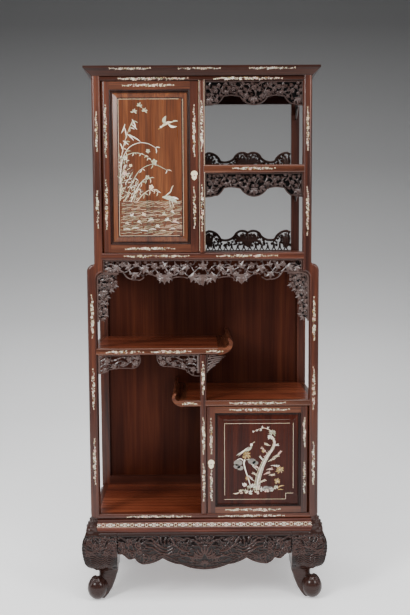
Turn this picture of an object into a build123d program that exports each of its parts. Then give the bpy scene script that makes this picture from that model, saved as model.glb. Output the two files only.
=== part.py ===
from build123d import *
import os

# Asymmetric book and display cabinet: a case of posts, rails and floating panels on a separate carved stand.
# The origin is on the floor under the middle of the cabinet. Z is up, X to the right, the front faces -Y.

# ------------------------------------------------------------------ driving dimensions, in millimetres

# Widths and depths
case_depth = 410
upper_width = 770
shoulder_reach = 26.5
upper_post_width = 31
lower_post_width = 33
centre_post_width = 23
centre_x = -1.5
post_depth = 32
post_round = 9
rail_depth = 30
rail_setback = 1.5
rail_round = 7
sill_round = 10
board_thickness = 14
panel_thickness = 10
carving_thickness = 13
carving_setback = 7

# Heights, from the floor up
stand_height = 301
sill_height = 19
lower_door_opening = 392
low_shelf_height = 23
niche_height = 165
mid_shelf_height = 25
centre_opening = 314
bottom_rail_height = 25
lower_display_opening = 279
display_shelf_height = 29
upper_display_opening = 289
top_rail_height = 17
cornice_height = 30
back_sill_height = 55
back_top_rail_height = 40
shoulder_height = 33
shoulder_above_mid_shelf = 302

# Lower posts: rounds at the foot and at the shoulder, and the small step under an upper post
foot_round = 20
head_flat = 2.5
seat_step = 2
corner_share = 1 - 0.5**0.5

# Shelf ends that run past the centre post
mid_shelf_overhang = 106
low_shelf_overhang = 112
scroll_rise = 34
hook_rise = 26
scroll_unit = 60
end_rail_width = 60
ledger_depth = 20

# Back panels, set in from the inner faces of the back posts
back_panel_inset = 11
back_panel_thickness = 8

# Joinery and clearances
tenon_length = 14
side_tenon_length = 9
tenon_thickness = 10
tenon_shoulder = 4
centre_tenon_length = 8
foot_tenon = 12
door_tenon = 12
joint_clearance = 0.2
joint_gap = 0.1
rebate_width = 8
board_clearance = 0.5

# Doors, locks and pivots
door_gap = 1.5
door_thickness = 24
door_setback = 4
stile_width = 28
upper_door_rail_width = 28
lower_door_rail_width = 22
panel_border = 30
panel_rise = 5
panel_tongue = 5
panel_setback = 3
panel_back_thickness = 7
field_notch = 28
pin_radius = 3
pin_in_rail = 6
pin_in_stile = 8
pin_clearance = 0.08
collar_radius = 6
collar_clearance = 0.2
lock_width = 22
lock_height = 40
lock_depth = 8
bolt_length = 16
bolt_height = 10
bolt_thickness = 4
bolt_travel = 6
bolt_clearance = 0.3
upper_lock_above_rail = 270
lower_lock_above_sill = 181
escutcheon_width = 24
escutcheon_height = 34
escutcheon_thickness = 1.2
keyhole_radius = 2.2

# Inner shelf of the upper cupboard
inner_shelf_rise = 290
bearer_size = 16
inner_shelf_thickness = 12
inner_shelf_gap = 20
display_bearer_width = 18

# Cornice and stand
cornice_overhang = 25.5
cornice_fillet = 7
cornice_rail_width = 60
top_board_drop = 3
stand_ledge = 3
stand_frame_height = 44
stand_moulding_height = 17
stand_rail_width = 75
knee_overhang = 32.6
leg_inset = 97
arch_drop = 78
apron_thickness = 26
apron_tenon = 14
leg_tenon = 20

# ------------------------------------------------------------------ levels and faces derived from them

sill_top = stand_height + sill_height
low_shelf_bottom = sill_top + lower_door_opening
low_shelf_top = low_shelf_bottom + low_shelf_height
mid_shelf_bottom = low_shelf_top + niche_height
mid_shelf_top = mid_shelf_bottom + mid_shelf_height
bottom_rail_bottom = mid_shelf_top + centre_opening
bottom_rail_top = bottom_rail_bottom + bottom_rail_height
display_shelf_bottom = bottom_rail_top + lower_display_opening
display_shelf_top = display_shelf_bottom + display_shelf_height
top_rail_bottom = display_shelf_top + upper_display_opening
top_rail_top = top_rail_bottom + top_rail_height
cabinet_height = top_rail_top + cornice_height
shoulder_top = mid_shelf_top + shoulder_above_mid_shelf
shoulder_bottom = shoulder_top - shoulder_height

half_depth = case_depth / 2
post_y = half_depth - post_depth / 2
post_inner_y = half_depth - post_depth
rail_y = half_depth - rail_setback - rail_depth / 2
rail_inner_y = half_depth - rail_setback - rail_depth
upper_half = upper_width / 2
lower_half = upper_half + shoulder_reach
upper_post_x = upper_half - upper_post_width / 2
lower_post_x = lower_half - lower_post_width / 2
upper_face = upper_half - upper_post_width
lower_face = lower_half - lower_post_width
head_round = lower_face - upper_face - head_flat
upper_side_rail = (upper_face + 1, upper_half - rail_setback)
lower_side_rail = (lower_face + 1, lower_half - rail_setback)
centre_left = centre_x - centre_post_width / 2
centre_right = centre_x + centre_post_width / 2
carving_front = half_depth - carving_setback
carving_y = (-carving_front, carving_thickness - carving_front)
side_span = (-post_inner_y, post_inner_y)

sill_z = (stand_height, sill_top)
back_sill_z = (stand_height, stand_height + back_sill_height)
low_shelf_z = (low_shelf_bottom, low_shelf_top)
mid_shelf_z = (mid_shelf_bottom, mid_shelf_top)
bottom_rail_z = (bottom_rail_bottom, bottom_rail_top)
display_shelf_z = (display_shelf_bottom, display_shelf_top)
top_rail_z = (top_rail_bottom, top_rail_top)
back_top_rail_z = (top_rail_top - back_top_rail_height, top_rail_top)
partition_x = (centre_x - panel_thickness / 2, centre_x + panel_thickness / 2)
corners = [("front_left", -1, -1), ("front_right", 1, -1), ("back_left", -1, 1), ("back_right", 1, 1)]


# ------------------------------------------------------------------ shared shapes


def save(piece, name):
    """Label a finished piece and write its file."""
    piece.part.label = name
    export_step(piece.part, f"parts/{name}.step")


def span(sign, near, far):
    """The stretch from near to far on the side of the middle that sign names, low end first."""
    return (near, far) if sign > 0 else (-far, -near)


def grown(stretch, amount):
    """The same stretch, longer by amount at both ends."""
    return (stretch[0] - amount, stretch[1] + amount)


def block(x, y, z, mode=Mode.ADD):
    """Block that fills three stretches, each given low end first."""
    with Locations((sum(x) / 2, sum(y) / 2, sum(z) / 2)):
        Box(x[1] - x[0], y[1] - y[0], z[1] - z[0], mode=mode)


def curves(stretches):
    """Draw each stretch of an outline: two points are a line, three an arc and more a spline."""
    for points in stretches:
        if len(points) == 2:
            Line(*points)
        elif len(points) == 3:
            ThreePointArc(*points)
        else:
            Spline(*points)


def closed(stretches):
    """Draw the stretches and close them with a straight line."""
    curves(stretches)
    Line(stretches[-1][-1], stretches[0][0])


def plate(stretches, y, mode=Mode.ADD):
    """Plate with a front-view outline, given in X and Z, that fills the depth y."""
    with BuildSketch(Plane.XZ.offset(-y[1])) as face:
        with BuildLine():
            closed(stretches)
        make_face()
    extrude(face.sketch, amount=y[1] - y[0], mode=mode)


def side_plate(stretches, x, mode=Mode.ADD):
    """Plate with a side-view outline, given in Y and Z, that fills the width x."""
    with BuildSketch(Plane.YZ.offset(x[0])) as face:
        with BuildLine():
            closed(stretches)
        make_face()
    extrude(face.sketch, amount=x[1] - x[0], mode=mode)


def mirrored(stretches, about=0):
    """A half outline from the middle outwards, led by its mirror image, so that it runs towards high X."""
    image = [[(2 * about - x, z) for x, z in reversed(points)] for points in reversed(stretches)]
    return image + stretches


def fitted(edge, drawn, real, top):
    """A carved edge drawn as (distance from the middle, depth below its rail), stretched to its length."""
    return [[(x * real / drawn, top - depth) for x, depth in points] for points in edge]


def hung_from(edge, x, sign, top):
    """A carved edge drawn as (distance from its post, depth below its rail), hung beside the post at x."""
    return [[(x + sign * distance, top - depth) for distance, depth in points] for points in edge]


def upright(x, width, out, z, mode=Mode.ADD):
    """Post centred on x at the front (out -1) or back (out 1), with its two outer edges rounded."""
    with BuildSketch(Plane.XY.offset(z[0])) as section:
        with Locations((x, out * post_y)):
            Rectangle(width, post_depth)
        fillet(section.vertices().group_by(Axis.Y)[0 if out < 0 else -1], radius=post_round)
    extrude(section.sketch, amount=z[1] - z[0], mode=mode)


def rail_along_x(x, out, z, mode=Mode.ADD):
    """Rail between two posts at the front (out -1) or back (out 1), with its two outer edges rounded."""
    with BuildSketch(Plane.YZ.offset(x[0])) as section:
        with Locations((out * rail_y, sum(z) / 2)):
            Rectangle(rail_depth, z[1] - z[0])
        fillet(section.vertices().group_by(Axis.X)[0 if out < 0 else -1], radius=rail_round)
    extrude(section.sketch, amount=x[1] - x[0], mode=mode)


def rail_along_y(x, out, z, low_round=rail_round):
    """Rail between the front and back posts of a side (out -1 left, 1 right), its outer edges rounded."""
    with BuildSketch(Plane.XZ.offset(-side_span[1])) as section:
        with Locations((sum(x) / 2, sum(z) / 2)):
            Rectangle(x[1] - x[0], z[1] - z[0])
        side = 0 if out < 0 else -1
        fillet(section.vertices().group_by(Axis.Y)[-1].sort_by(Axis.X)[side], radius=rail_round)
        fillet(section.vertices().group_by(Axis.Y)[0].sort_by(Axis.X)[side], radius=low_round)
    extrude(section.sketch, amount=side_span[1] - side_span[0])


def tenon_along_x(face, sign, out, z, grow=0.0, mode=Mode.ADD, length=tenon_length):
    """Tenon that leaves a rail's shoulder at x = face towards sign; grow turns it into its mortise."""
    x = sorted((face - sign, face + sign * (length + grow)))
    y = grown((out * post_y - tenon_thickness / 2, out * post_y + tenon_thickness / 2), grow)
    block(x, y, (z[0] + tenon_shoulder - grow, z[1] - tenon_shoulder + grow), mode)


def tenon_along_y(x, out, z, grow=0.0, mode=Mode.ADD):
    """Tenon that leaves a side rail's shoulder towards the front (out -1) or back (out 1)."""
    middle = sum(x) / 2
    y = span(out, post_inner_y - 1, post_inner_y + side_tenon_length + grow)
    width = grown((middle - tenon_thickness / 2, middle + tenon_thickness / 2), grow)
    block(width, y, (z[0] + tenon_shoulder - grow, z[1] - tenon_shoulder + grow), mode)


def front_rail(left, right, out, z):
    """Rail with a tenon at each end, its rounded edges scribed to the rounded posts that it meets."""
    rail_along_x((left[0] - post_round, right[0] + post_round), out, z)
    for face, centre, width in (left, right):
        upright(centre, width, out, grown(z, 1), mode=Mode.SUBTRACT)
    tenon_along_x(left[0], -1, out, z)
    tenon_along_x(right[0], 1, out, z)


def side_rail(x, out, z, low_round=rail_round):
    """Rail between a front and a back post, with a tenon at each end."""
    rail_along_y(x, out, z, low_round)
    tenon_along_y(x, -1, z)
    tenon_along_y(x, 1, z)


def board_rebate(x, y, top, thickness=board_thickness):
    """Cut the space that a board takes in the rails round it."""
    z = (top - thickness, top + 1)
    block(grown(x, board_clearance), grown(y, board_clearance), z, mode=Mode.SUBTRACT)


# Each post face that a rail meets, as (x of the face, centre of the post, width of the post)
upper_left_post = (-upper_face, -upper_post_x, upper_post_width)
upper_right_post = (upper_face, upper_post_x, upper_post_width)
lower_left_post = (-lower_face, -lower_post_x, lower_post_width)
lower_right_post = (lower_face, lower_post_x, lower_post_width)
centre_left_face = (centre_left, centre_x, centre_post_width)
centre_right_face = (centre_right, centre_x, centre_post_width)

# ------------------------------------------------------------------ stand

frame_bottom = stand_height - stand_frame_height
moulding_top = frame_bottom + stand_moulding_height
stand_top_reach = stand_ledge + 14
leg_inner_x = lower_half - leg_inset
side_shift = lower_half - half_depth

# Outline of the stand's flare, as (distance beyond the case, height)
frame_flare = [
    [(stand_ledge, stand_height), (stand_ledge, stand_height - 6)],
    [(stand_ledge, stand_height - 6), (stand_ledge + 6.5, moulding_top)],
    [
        (stand_ledge + 6.5, moulding_top),
        (stand_ledge + 12, frame_bottom + 9),
        (stand_ledge + 9, frame_bottom),
    ],
]
apron_flare = [
    (stand_ledge + 9, frame_bottom),
    (knee_overhang - 10, frame_bottom - 14),
    (knee_overhang - 2.5, frame_bottom - 32),
    (knee_overhang, frame_bottom - 56),
    (knee_overhang - 2.5, frame_bottom - 80),
    (knee_overhang - 9, frame_bottom - 104),
    (knee_overhang - 21, frame_bottom - 143),
]
leg_flare = apron_flare[:5] + [
    (knee_overhang - 6, frame_bottom - 101),
    (knee_overhang - 13, frame_bottom - 122),
    (knee_overhang - 34, frame_bottom - 140),
    (knee_overhang - 49, frame_bottom - 153),
    (knee_overhang - 53, frame_bottom - 166),
]
ankle_out, ankle_z = leg_flare[-1]
arch_z = frame_bottom - arch_drop
foot_outline = [
    [(ankle_out, ankle_z), (knee_overhang - 27, ankle_z * 0.87), (knee_overhang - 14, ankle_z * 0.5)],
    [(knee_overhang - 14, ankle_z * 0.5), (knee_overhang - 18, ankle_z * 0.22), (knee_overhang - 36, 0)],
    [(knee_overhang - 36, 0), (knee_overhang - 80, 0)],
    [(knee_overhang - 80, 0), (knee_overhang - 107, ankle_z * 0.42), (knee_overhang - 125, ankle_z * 1.03)],
    [
        (knee_overhang - 125, ankle_z * 1.03),
        (knee_overhang - 128.5, (ankle_z * 1.03 + arch_z) / 2),
        (-leg_inset, arch_z),
    ],
    [(-leg_inset, arch_z), (-leg_inset, frame_bottom)],
]


def flared(stretches, base, sign):
    """An outline given as (distance beyond the case, height), placed at base on the side that sign names."""
    return [[(sign * (base + reach), z) for reach, z in points] for points in stretches]


def leg_tenon_block(sign_x, sign_y, grow=0.0, mode=Mode.ADD):
    """Square tenon on top of a leg; grow turns it into its mortise."""
    middle_x = sign_x * (lower_half - stand_rail_width / 2)
    middle_y = sign_y * (half_depth - stand_rail_width / 2)
    half = leg_tenon / 2 + grow
    z = (frame_bottom - 1, frame_bottom + leg_tenon + grow)
    block((middle_x - half, middle_x + half), (middle_y - half, middle_y + half), z, mode)


def apron_tenon_block(sign_x, sign_y, along_x, grow=0.0, mode=Mode.ADD):
    """Tongue at an apron's end that enters the leg; grow turns it into its mortise."""
    reach = grown((knee_overhang - 22, knee_overhang - 12), grow)
    z = grown((frame_bottom - 62, frame_bottom - 14), grow)
    if along_x:
        x = span(sign_x, leg_inner_x - 1, leg_inner_x + apron_tenon + grow)
        block(x, span(sign_y, half_depth + reach[0], half_depth + reach[1]), z, mode)
    else:
        inner_y = leg_inner_x - side_shift
        y = span(sign_y, inner_y - 1, inner_y + apron_tenon + grow)
        block(span(sign_x, lower_half + reach[0], lower_half + reach[1]), y, z, mode)


for corner, sign_x, sign_y in corners:
    with BuildPart() as leg:
        leg_outline = [leg_flare] + foot_outline
        plate(flared(leg_outline, lower_half, sign_x), span(sign_y, 0, half_depth + knee_overhang))
        side_plate(
            flared(leg_outline, half_depth, sign_y),
            span(sign_x, 0, lower_half + knee_overhang),
            mode=Mode.INTERSECT,
        )
        leg_tenon_block(sign_x, sign_y)
        apron_tenon_block(sign_x, sign_y, True, joint_clearance, Mode.SUBTRACT)
        apron_tenon_block(sign_x, sign_y, False, joint_clearance, Mode.SUBTRACT)
    save(leg, f"leg_{corner}")

# Lower edges of the aprons, from the middle to the leg: (distance, depth below the frame)
drawn_front_half = 311
front_apron_edge = [
    [(0, 141), (46, 135), (88, 119)],
    [(88, 119), (122, 110), (151, 93)],
    [(151, 93), (184, 111), (216, 118)],
    [(216, 118), (238, 111), (251, 92)],
    [(251, 92), (267, 96), (280, 92)],
    [(280, 92), (293, 79), (drawn_front_half, 74)],
]
drawn_side_half = 108
side_apron_edge = [
    [(0, 117), (26, 113), (46, 99)],
    [(46, 99), (62, 103), (78, 92)],
    [(78, 92), (92, 79), (drawn_side_half, 74)],
]


def apron_section(base, sign):
    """Bulging section of an apron: its outer flare, and the same line moved inwards."""
    inner = [(reach - apron_thickness, z) for reach, z in reversed(apron_flare)]
    stretches = [apron_flare, [apron_flare[-1], inner[0]], inner]
    return flared(stretches, base, sign)


for name, sign_y in (("stand_apron_front", -1), ("stand_apron_back", 1)):
    with BuildPart() as apron:
        side_plate(apron_section(half_depth, sign_y), (-leg_inner_x, leg_inner_x))
        edge = mirrored(fitted(front_apron_edge, drawn_front_half, leg_inner_x, frame_bottom))
        corner_top = (leg_inner_x, frame_bottom)
        rise = [[edge[-1][-1], corner_top], [corner_top, (-leg_inner_x, frame_bottom)]]
        plate(edge + rise, span(sign_y, 0, half_depth + knee_overhang), mode=Mode.INTERSECT)
        apron_tenon_block(-1, sign_y, True)
        apron_tenon_block(1, sign_y, True)
    save(apron, name)

with BuildPart() as side_aprons:
    inner_y = leg_inner_x - side_shift
    for sign_x in (-1, 1):
        plate(apron_section(lower_half, sign_x), (-inner_y, inner_y))
    edge = mirrored(fitted(side_apron_edge, drawn_side_half, inner_y, frame_bottom))
    rise = [[edge[-1][-1], (inner_y, frame_bottom)], [(inner_y, frame_bottom), (-inner_y, frame_bottom)]]
    side_plate(edge + rise, (-lower_half - knee_overhang, lower_half + knee_overhang), mode=Mode.INTERSECT)
    for sign_x in (-1, 1):
        apron_tenon_block(sign_x, -1, False)
        apron_tenon_block(sign_x, 1, False)
save(side_aprons, "stand_apron_sides")


def mitre(half_x, half_y, width, along_x, sign, z):
    """Keep one rail of a mitred frame: its plan is a trapezoid, narrower by joint_gap at each mitre."""
    out_a, out_b = (half_x, half_y) if along_x else (half_y, half_x)
    corner_points = [
        (-out_a + joint_gap, sign * out_b),
        (out_a - joint_gap, sign * out_b),
        (out_a - width - joint_gap, sign * (out_b - width)),
        (-out_a + width + joint_gap, sign * (out_b - width)),
    ]
    with BuildSketch(Plane.XY.offset(z[0])) as plan:
        with BuildLine():
            Polyline(*[(a, b) if along_x else (b, a) for a, b in corner_points], close=True)
        make_face()
    extrude(plan.sketch, amount=z[1] - z[0], mode=Mode.INTERSECT)


def mitred_rail(profile, half_x, half_y, reach, width, z, along_x, sign):
    """One rail of a mitred frame round the case, with its outer profile given beyond the case."""
    if along_x:
        side_plate(flared(profile, half_y, sign), (-half_x - reach, half_x + reach))
    else:
        plate(flared(profile, half_x, sign), (-half_y - reach, half_y + reach))
    mitre(half_x + reach, half_y + reach, width + reach, along_x, sign, z)


frame_inner = -stand_rail_width
frame_profile = frame_flare + [
    [(stand_ledge + 9, frame_bottom), (frame_inner, frame_bottom)],
    [(frame_inner, frame_bottom), (frame_inner, stand_height)],
]
stand_board_top = stand_height - 4
stand_board_half_x = lower_half - stand_rail_width + rebate_width
stand_board_half_y = half_depth - stand_rail_width + rebate_width
stand_rails = []
for along_x in (True, False):
    for sign in (-1, 1):
        with BuildPart() as stand_rail:
            mitred_rail(
                frame_profile,
                lower_half,
                half_depth,
                stand_top_reach,
                stand_rail_width,
                (frame_bottom - 1, stand_height + 1),
                along_x,
                sign,
            )
            half_x = stand_board_half_x + board_clearance
            half_y = stand_board_half_y + board_clearance
            groove_z = (stand_board_top - board_thickness, stand_board_top)
            block((-half_x, half_x), (-half_y, half_y), groove_z, mode=Mode.SUBTRACT)
            for corner, sign_x, sign_y in corners:
                leg_tenon_block(sign_x, sign_y, joint_clearance, Mode.SUBTRACT)
        stand_rails.append(stand_rail.part)

with BuildPart() as stand_frame:
    add(stand_rails)
save(stand_frame, "stand_top_frame")

with BuildPart() as stand_board:
    block(
        (-stand_board_half_x, stand_board_half_x),
        (-stand_board_half_y, stand_board_half_y),
        (stand_board_top - board_thickness, stand_board_top),
    )
save(stand_board, "stand_top_board")

# ------------------------------------------------------------------ what the doors and the case share

door_y = (-half_depth + door_setback, -half_depth + door_setback + door_thickness)
pivot_y = sum(door_y) / 2
upper_door_x = (-upper_face + door_gap, centre_left - door_gap)
upper_door_z = (bottom_rail_top + door_gap, top_rail_bottom - door_gap)
lower_door_x = (centre_right + door_gap, lower_face - door_gap)
lower_door_z = (sill_top + door_gap, low_shelf_bottom - door_gap)
upper_pivot_x = upper_door_x[0] + door_thickness / 2
lower_pivot_x = lower_door_x[1] - door_thickness / 2
upper_lock_z = bottom_rail_top + upper_lock_above_rail
lower_lock_z = sill_top + lower_lock_above_sill
bolt_y = (door_y[1] - lock_depth / 2 - bolt_thickness / 2, door_y[1] - lock_depth / 2 + bolt_thickness / 2)


def round_bore(x, y, radius, z, mode=Mode.SUBTRACT):
    """Upright cylinder, cut by default, that fills the stretch z."""
    with Locations((x, y, sum(z) / 2)):
        Cylinder(radius, z[1] - z[0], mode=mode)


def pivot_hole(x, face_z, into):
    """Hole for a pivot pin in a case rail, into it from its face upwards (into 1) or downwards (into -1)."""
    depth = pin_in_rail + pin_clearance
    z = (face_z - 1, face_z + depth) if into > 0 else (face_z - depth, face_z + 1)
    round_bore(x, pivot_y, pin_radius + pin_clearance, z)


def strike_mortise(face_x, into, lock_z):
    """Mortise in the centre post that takes a lock bolt, from its face towards into."""
    depth = bolt_travel - door_gap + 1
    x = span(into, into * face_x - 1, into * face_x + depth)
    z = (lock_z - bolt_height / 2, lock_z + bolt_height / 2)
    block(x, grown(bolt_y, bolt_clearance), grown(z, bolt_clearance), mode=Mode.SUBTRACT)

# ------------------------------------------------------------------ lower case

seat_z = shoulder_top - seat_step
back_panel_y = (post_inner_y + back_panel_inset, post_inner_y + back_panel_inset + back_panel_thickness)
ledger_y = (back_panel_y[0] - ledger_depth, back_panel_y[0])
mid_scroll_size = (mid_shelf_height + scroll_rise) / scroll_unit
hook_size = (low_shelf_height + hook_rise) / scroll_unit
mid_end = centre_x + mid_shelf_overhang
low_end = centre_x - low_shelf_overhang
lower_panel_reach = (lower_face + panel_tongue, upper_face + panel_tongue)

lower_post_outline = [
    [(lower_face, stand_height), (lower_face, shoulder_bottom - head_round)],
    [
        (lower_face, shoulder_bottom - head_round),
        (lower_face - corner_share * head_round, shoulder_bottom - corner_share * head_round),
        (lower_face - head_round, shoulder_bottom),
    ],
    [(lower_face - head_round, shoulder_bottom), (upper_face, shoulder_bottom)],
    [(upper_face, shoulder_bottom), (upper_face, shoulder_top)],
    [(upper_face, shoulder_top), (upper_half, shoulder_top)],
    [(upper_half, shoulder_top), (upper_half, seat_z)],
    [
        (upper_half, seat_z),
        (lower_half - corner_share * shoulder_reach, seat_z - corner_share * shoulder_reach),
        (lower_half, seat_z - shoulder_reach),
    ],
    [(lower_half, seat_z - shoulder_reach), (lower_half, stand_height + foot_round)],
    [
        (lower_half, stand_height + foot_round),
        (lower_half - corner_share * foot_round, stand_height + corner_share * foot_round),
        (lower_half - foot_round, stand_height),
    ],
]


def foot_tenon_block(sign_x, out, grow=0.0, mode=Mode.ADD):
    """Tenon under an upper post, which stands in the shoulder of the lower one; grow makes its mortise."""
    half = foot_tenon / 2 + grow
    x = sign_x * upper_post_x
    y = out * post_y
    z = (shoulder_top - tenon_length - grow, shoulder_top + 1)
    block((x - half, x + half), (y - half, y + half), z, mode)


def lower_back_panel_blocks(grow=0.0, mode=Mode.ADD):
    """The lower back panel, narrower between the shoulders; grow makes the grooves that take it."""
    wide, narrow = lower_panel_reach
    y = grown(back_panel_y, grow)
    step = shoulder_bottom + panel_tongue
    block(grown((-wide, wide), grow), y, (back_sill_z[1] - panel_tongue - grow, step + grow), mode)
    block(grown((-narrow, narrow), grow), y, (step - 1, bottom_rail_bottom + panel_tongue + grow), mode)


def lower_side_panel_block(grow=0.0, mode=Mode.ADD):
    """Right wall of the lower cupboard, with its tongues; grow makes its grooves."""
    x = (lower_post_x - panel_thickness / 2, lower_post_x + panel_thickness / 2)
    reach = panel_tongue + grow
    block(grown(x, grow), grown(side_span, reach), grown((sill_top, low_shelf_bottom), reach), mode)


def lower_partition_block(grow=0.0, mode=Mode.ADD):
    """Left wall of the lower cupboard: its front edge stands in the centre post."""
    y = (-post_inner_y - panel_tongue - grow, back_panel_y[0])
    block(grown(partition_x, grow), y, (sill_top, low_shelf_top - board_thickness), mode)


def notched_by(y, z):
    """Cut a corner out of the lower partition, with clearance, where a rail that fills y and z passes it."""
    block(grown(partition_x, 1), grown(y, joint_clearance), grown(z, joint_clearance), mode=Mode.SUBTRACT)


for corner, sign_x, out in corners:
    with BuildPart() as lower_post:
        outline = [[(sign_x * x, z) for x, z in points] for points in lower_post_outline]
        plate(outline, span(out, post_inner_y, half_depth))
        show_face = lower_post.faces().sort_by(Axis.Y)[0 if out < 0 else -1]
        show_edges = [e for e in show_face.edges() if stand_height + 1 < e.center().Z < seat_z]
        fillet(show_edges, radius=post_round)
        foot_tenon_block(sign_x, out, joint_clearance, Mode.SUBTRACT)
        face = sign_x * lower_face
        side_x = span(sign_x, *lower_side_rail)
        shelf_z = mid_shelf_z if sign_x < 0 else low_shelf_z
        tenon_along_x(face, sign_x, out, sill_z if out < 0 else back_sill_z, joint_clearance, Mode.SUBTRACT)
        tenon_along_y(side_x, out, sill_z, joint_clearance, Mode.SUBTRACT)
        tenon_along_y(side_x, out, shelf_z, joint_clearance, Mode.SUBTRACT)
        if out < 0:
            tenon_along_x(face, sign_x, out, shelf_z, joint_clearance, Mode.SUBTRACT)
        else:
            lower_back_panel_blocks(joint_clearance, Mode.SUBTRACT)
        if sign_x > 0:
            lower_side_panel_block(joint_clearance, Mode.SUBTRACT)
    save(lower_post, f"lower_post_{corner}")


def post_footprints(z):
    """Cut the four lower posts, with clearance, out of a board that reaches past their inner corners."""
    for _, sign_x, out in corners:
        x = span(sign_x, lower_face - board_clearance, lower_half)
        block(x, span(out, post_inner_y - board_clearance, half_depth), z, mode=Mode.SUBTRACT)


def centre_tenon(z, out=-1, grow=0.0, mode=Mode.ADD):
    """Tenon at the end of a centre post that fills the stretch z."""
    half = tenon_thickness / 2 + grow
    x = (centre_x - half, centre_x + half)
    block(x, (out * post_y - half, out * post_y + half), z, mode)


floor_x = grown((-lower_face, lower_face), rebate_width)
floor_y = grown((-rail_inner_y, rail_inner_y), rebate_width)

with BuildPart() as sill_rails:
    front_rail(lower_left_post, lower_right_post, -1, sill_z)
    front_rail(lower_left_post, lower_right_post, 1, back_sill_z)
    side_rail(span(-1, *lower_side_rail), -1, sill_z, sill_round)
    side_rail(lower_side_rail, 1, sill_z, sill_round)
    block(
        grown(floor_x, board_clearance),
        grown(floor_y, board_clearance),
        (sill_top - board_thickness, sill_top),
        mode=Mode.SUBTRACT,
    )
    lower_back_panel_blocks(joint_clearance, Mode.SUBTRACT)
    lower_side_panel_block(joint_clearance, Mode.SUBTRACT)
    mortise_z = (sill_top - centre_tenon_length - joint_clearance, sill_top + 1)
    centre_tenon(mortise_z, -1, joint_clearance, Mode.SUBTRACT)
    pivot_hole(lower_pivot_x, sill_top, -1)
save(sill_rails, "sill_rails")

with BuildPart() as floor_board:
    block(floor_x, floor_y, (sill_top - board_thickness, sill_top))
    post_footprints((sill_top - board_thickness, sill_top))
    lower_side_panel_block(joint_clearance, Mode.SUBTRACT)
save(floor_board, "floor_board")

with BuildPart() as lower_back_panel:
    lower_back_panel_blocks()
save(lower_back_panel, "lower_back_panel")

with BuildPart() as lower_side_panel:
    lower_side_panel_block()
save(lower_side_panel, "lower_side_panel")

with BuildPart() as lower_partition:
    lower_partition_block()
    notched_by((-half_depth, -rail_inner_y), low_shelf_z)
    notched_by(ledger_y, low_shelf_z)
    notched_by((rail_inner_y, half_depth), back_sill_z)
save(lower_partition, "lower_partition")

with BuildPart() as centre_post:
    upright(centre_x, centre_post_width, -1, (sill_top, mid_shelf_bottom))
    lap_y = (-post_y, -post_inner_y + 1)
    block(grown((centre_left, centre_right), 1), lap_y, low_shelf_z, mode=Mode.SUBTRACT)
    centre_tenon((sill_top - centre_tenon_length, sill_top + 1))
    centre_tenon((mid_shelf_bottom - 1, mid_shelf_bottom + centre_tenon_length))
    lower_partition_block(joint_clearance, Mode.SUBTRACT)
    strike_mortise(centre_right, -1, lower_lock_z)
save(centre_post, "centre_post_lower")


def scroll_outline(end, sign, z, size):
    """Upturned end of a shelf rail, in front view, that reaches end on the side that sign names."""
    low, high = z
    outer = [(54, 0), (30, 3), (11, 15), (0, 35), (1, 48), (8, 57)]
    inner = [(18, 53), (13, 43), (18, 31)]
    outer = [(end - sign * size * d, low + size * h) for d, h in outer]
    inner = [(end - sign * size * d, low + size * h) for d, h in inner]
    tip = (end - sign * size * 13, low + size * 60)
    neck = (end - sign * size * 34, high)
    return [outer, [outer[-1], tip, inner[0]], inner + [neck], [neck, (end - sign * size * 54, high)]]


def shelf_frame(post, side, end, sign, z, size):
    """Rails of a shelf that runs from the posts of one side past the centre post to an upturned end."""
    straight = sorted((post[0] + side * post_round, end - sign * size * 40))
    rail_along_x(straight, -1, z)
    upright(post[1], post[2], -1, grown(z, 1), mode=Mode.SUBTRACT)
    tenon_along_x(post[0], side, -1, z)
    plate(scroll_outline(end, sign, z, size), (-rail_y - rail_depth / 2, -rail_inner_y))
    end_y = (-rail_inner_y + joint_gap, ledger_y[1])
    plate(scroll_outline(end, sign, z, size), end_y)
    inner_end = end - sign * end_rail_width
    block(sorted((inner_end, end - sign * size * 40)), end_y, z)
    block(sorted((post[0], inner_end - sign * joint_gap)), ledger_y, z)


mid_board_x = (-lower_face - rebate_width, mid_end - end_rail_width + rebate_width)
low_board_x = (low_end + end_rail_width - rebate_width, lower_face + rebate_width)
shelf_board_y = (-rail_inner_y - rebate_width, ledger_y[0] + rebate_width)

with BuildPart() as mid_shelf_rails:
    shelf_frame(lower_left_post, -1, mid_end, 1, mid_shelf_z, mid_scroll_size)
    side_rail(span(-1, *lower_side_rail), -1, mid_shelf_z)
    board_rebate(mid_board_x, shelf_board_y, mid_shelf_top)
    mortise_z = (mid_shelf_bottom - 1, mid_shelf_bottom + centre_tenon_length + joint_clearance)
    centre_tenon(mortise_z, -1, joint_clearance, Mode.SUBTRACT)
save(mid_shelf_rails, "mid_shelf_rails")

with BuildPart() as mid_shelf_board:
    block(mid_board_x, shelf_board_y, (mid_shelf_top - board_thickness, mid_shelf_top))
    post_footprints((mid_shelf_top - board_thickness, mid_shelf_top))
save(mid_shelf_board, "mid_shelf_board")

with BuildPart() as low_shelf_rails:
    shelf_frame(lower_right_post, 1, low_end, -1, low_shelf_z, hook_size)
    side_rail(lower_side_rail, 1, low_shelf_z)
    board_rebate(low_board_x, shelf_board_y, low_shelf_top)
    upright(centre_x, centre_post_width, -1, grown(low_shelf_z, 1), mode=Mode.SUBTRACT)
    block((centre_left, centre_right), (-post_y, -rail_inner_y - rebate_width), low_shelf_z)
    lower_side_panel_block(joint_clearance, Mode.SUBTRACT)
    pivot_hole(lower_pivot_x, low_shelf_bottom, 1)
save(low_shelf_rails, "low_shelf_rails")

with BuildPart() as low_shelf_board:
    block(low_board_x, shelf_board_y, (low_shelf_top - board_thickness, low_shelf_top))
    post_footprints((low_shelf_top - board_thickness, low_shelf_top))
save(low_shelf_board, "low_shelf_board")

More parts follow.
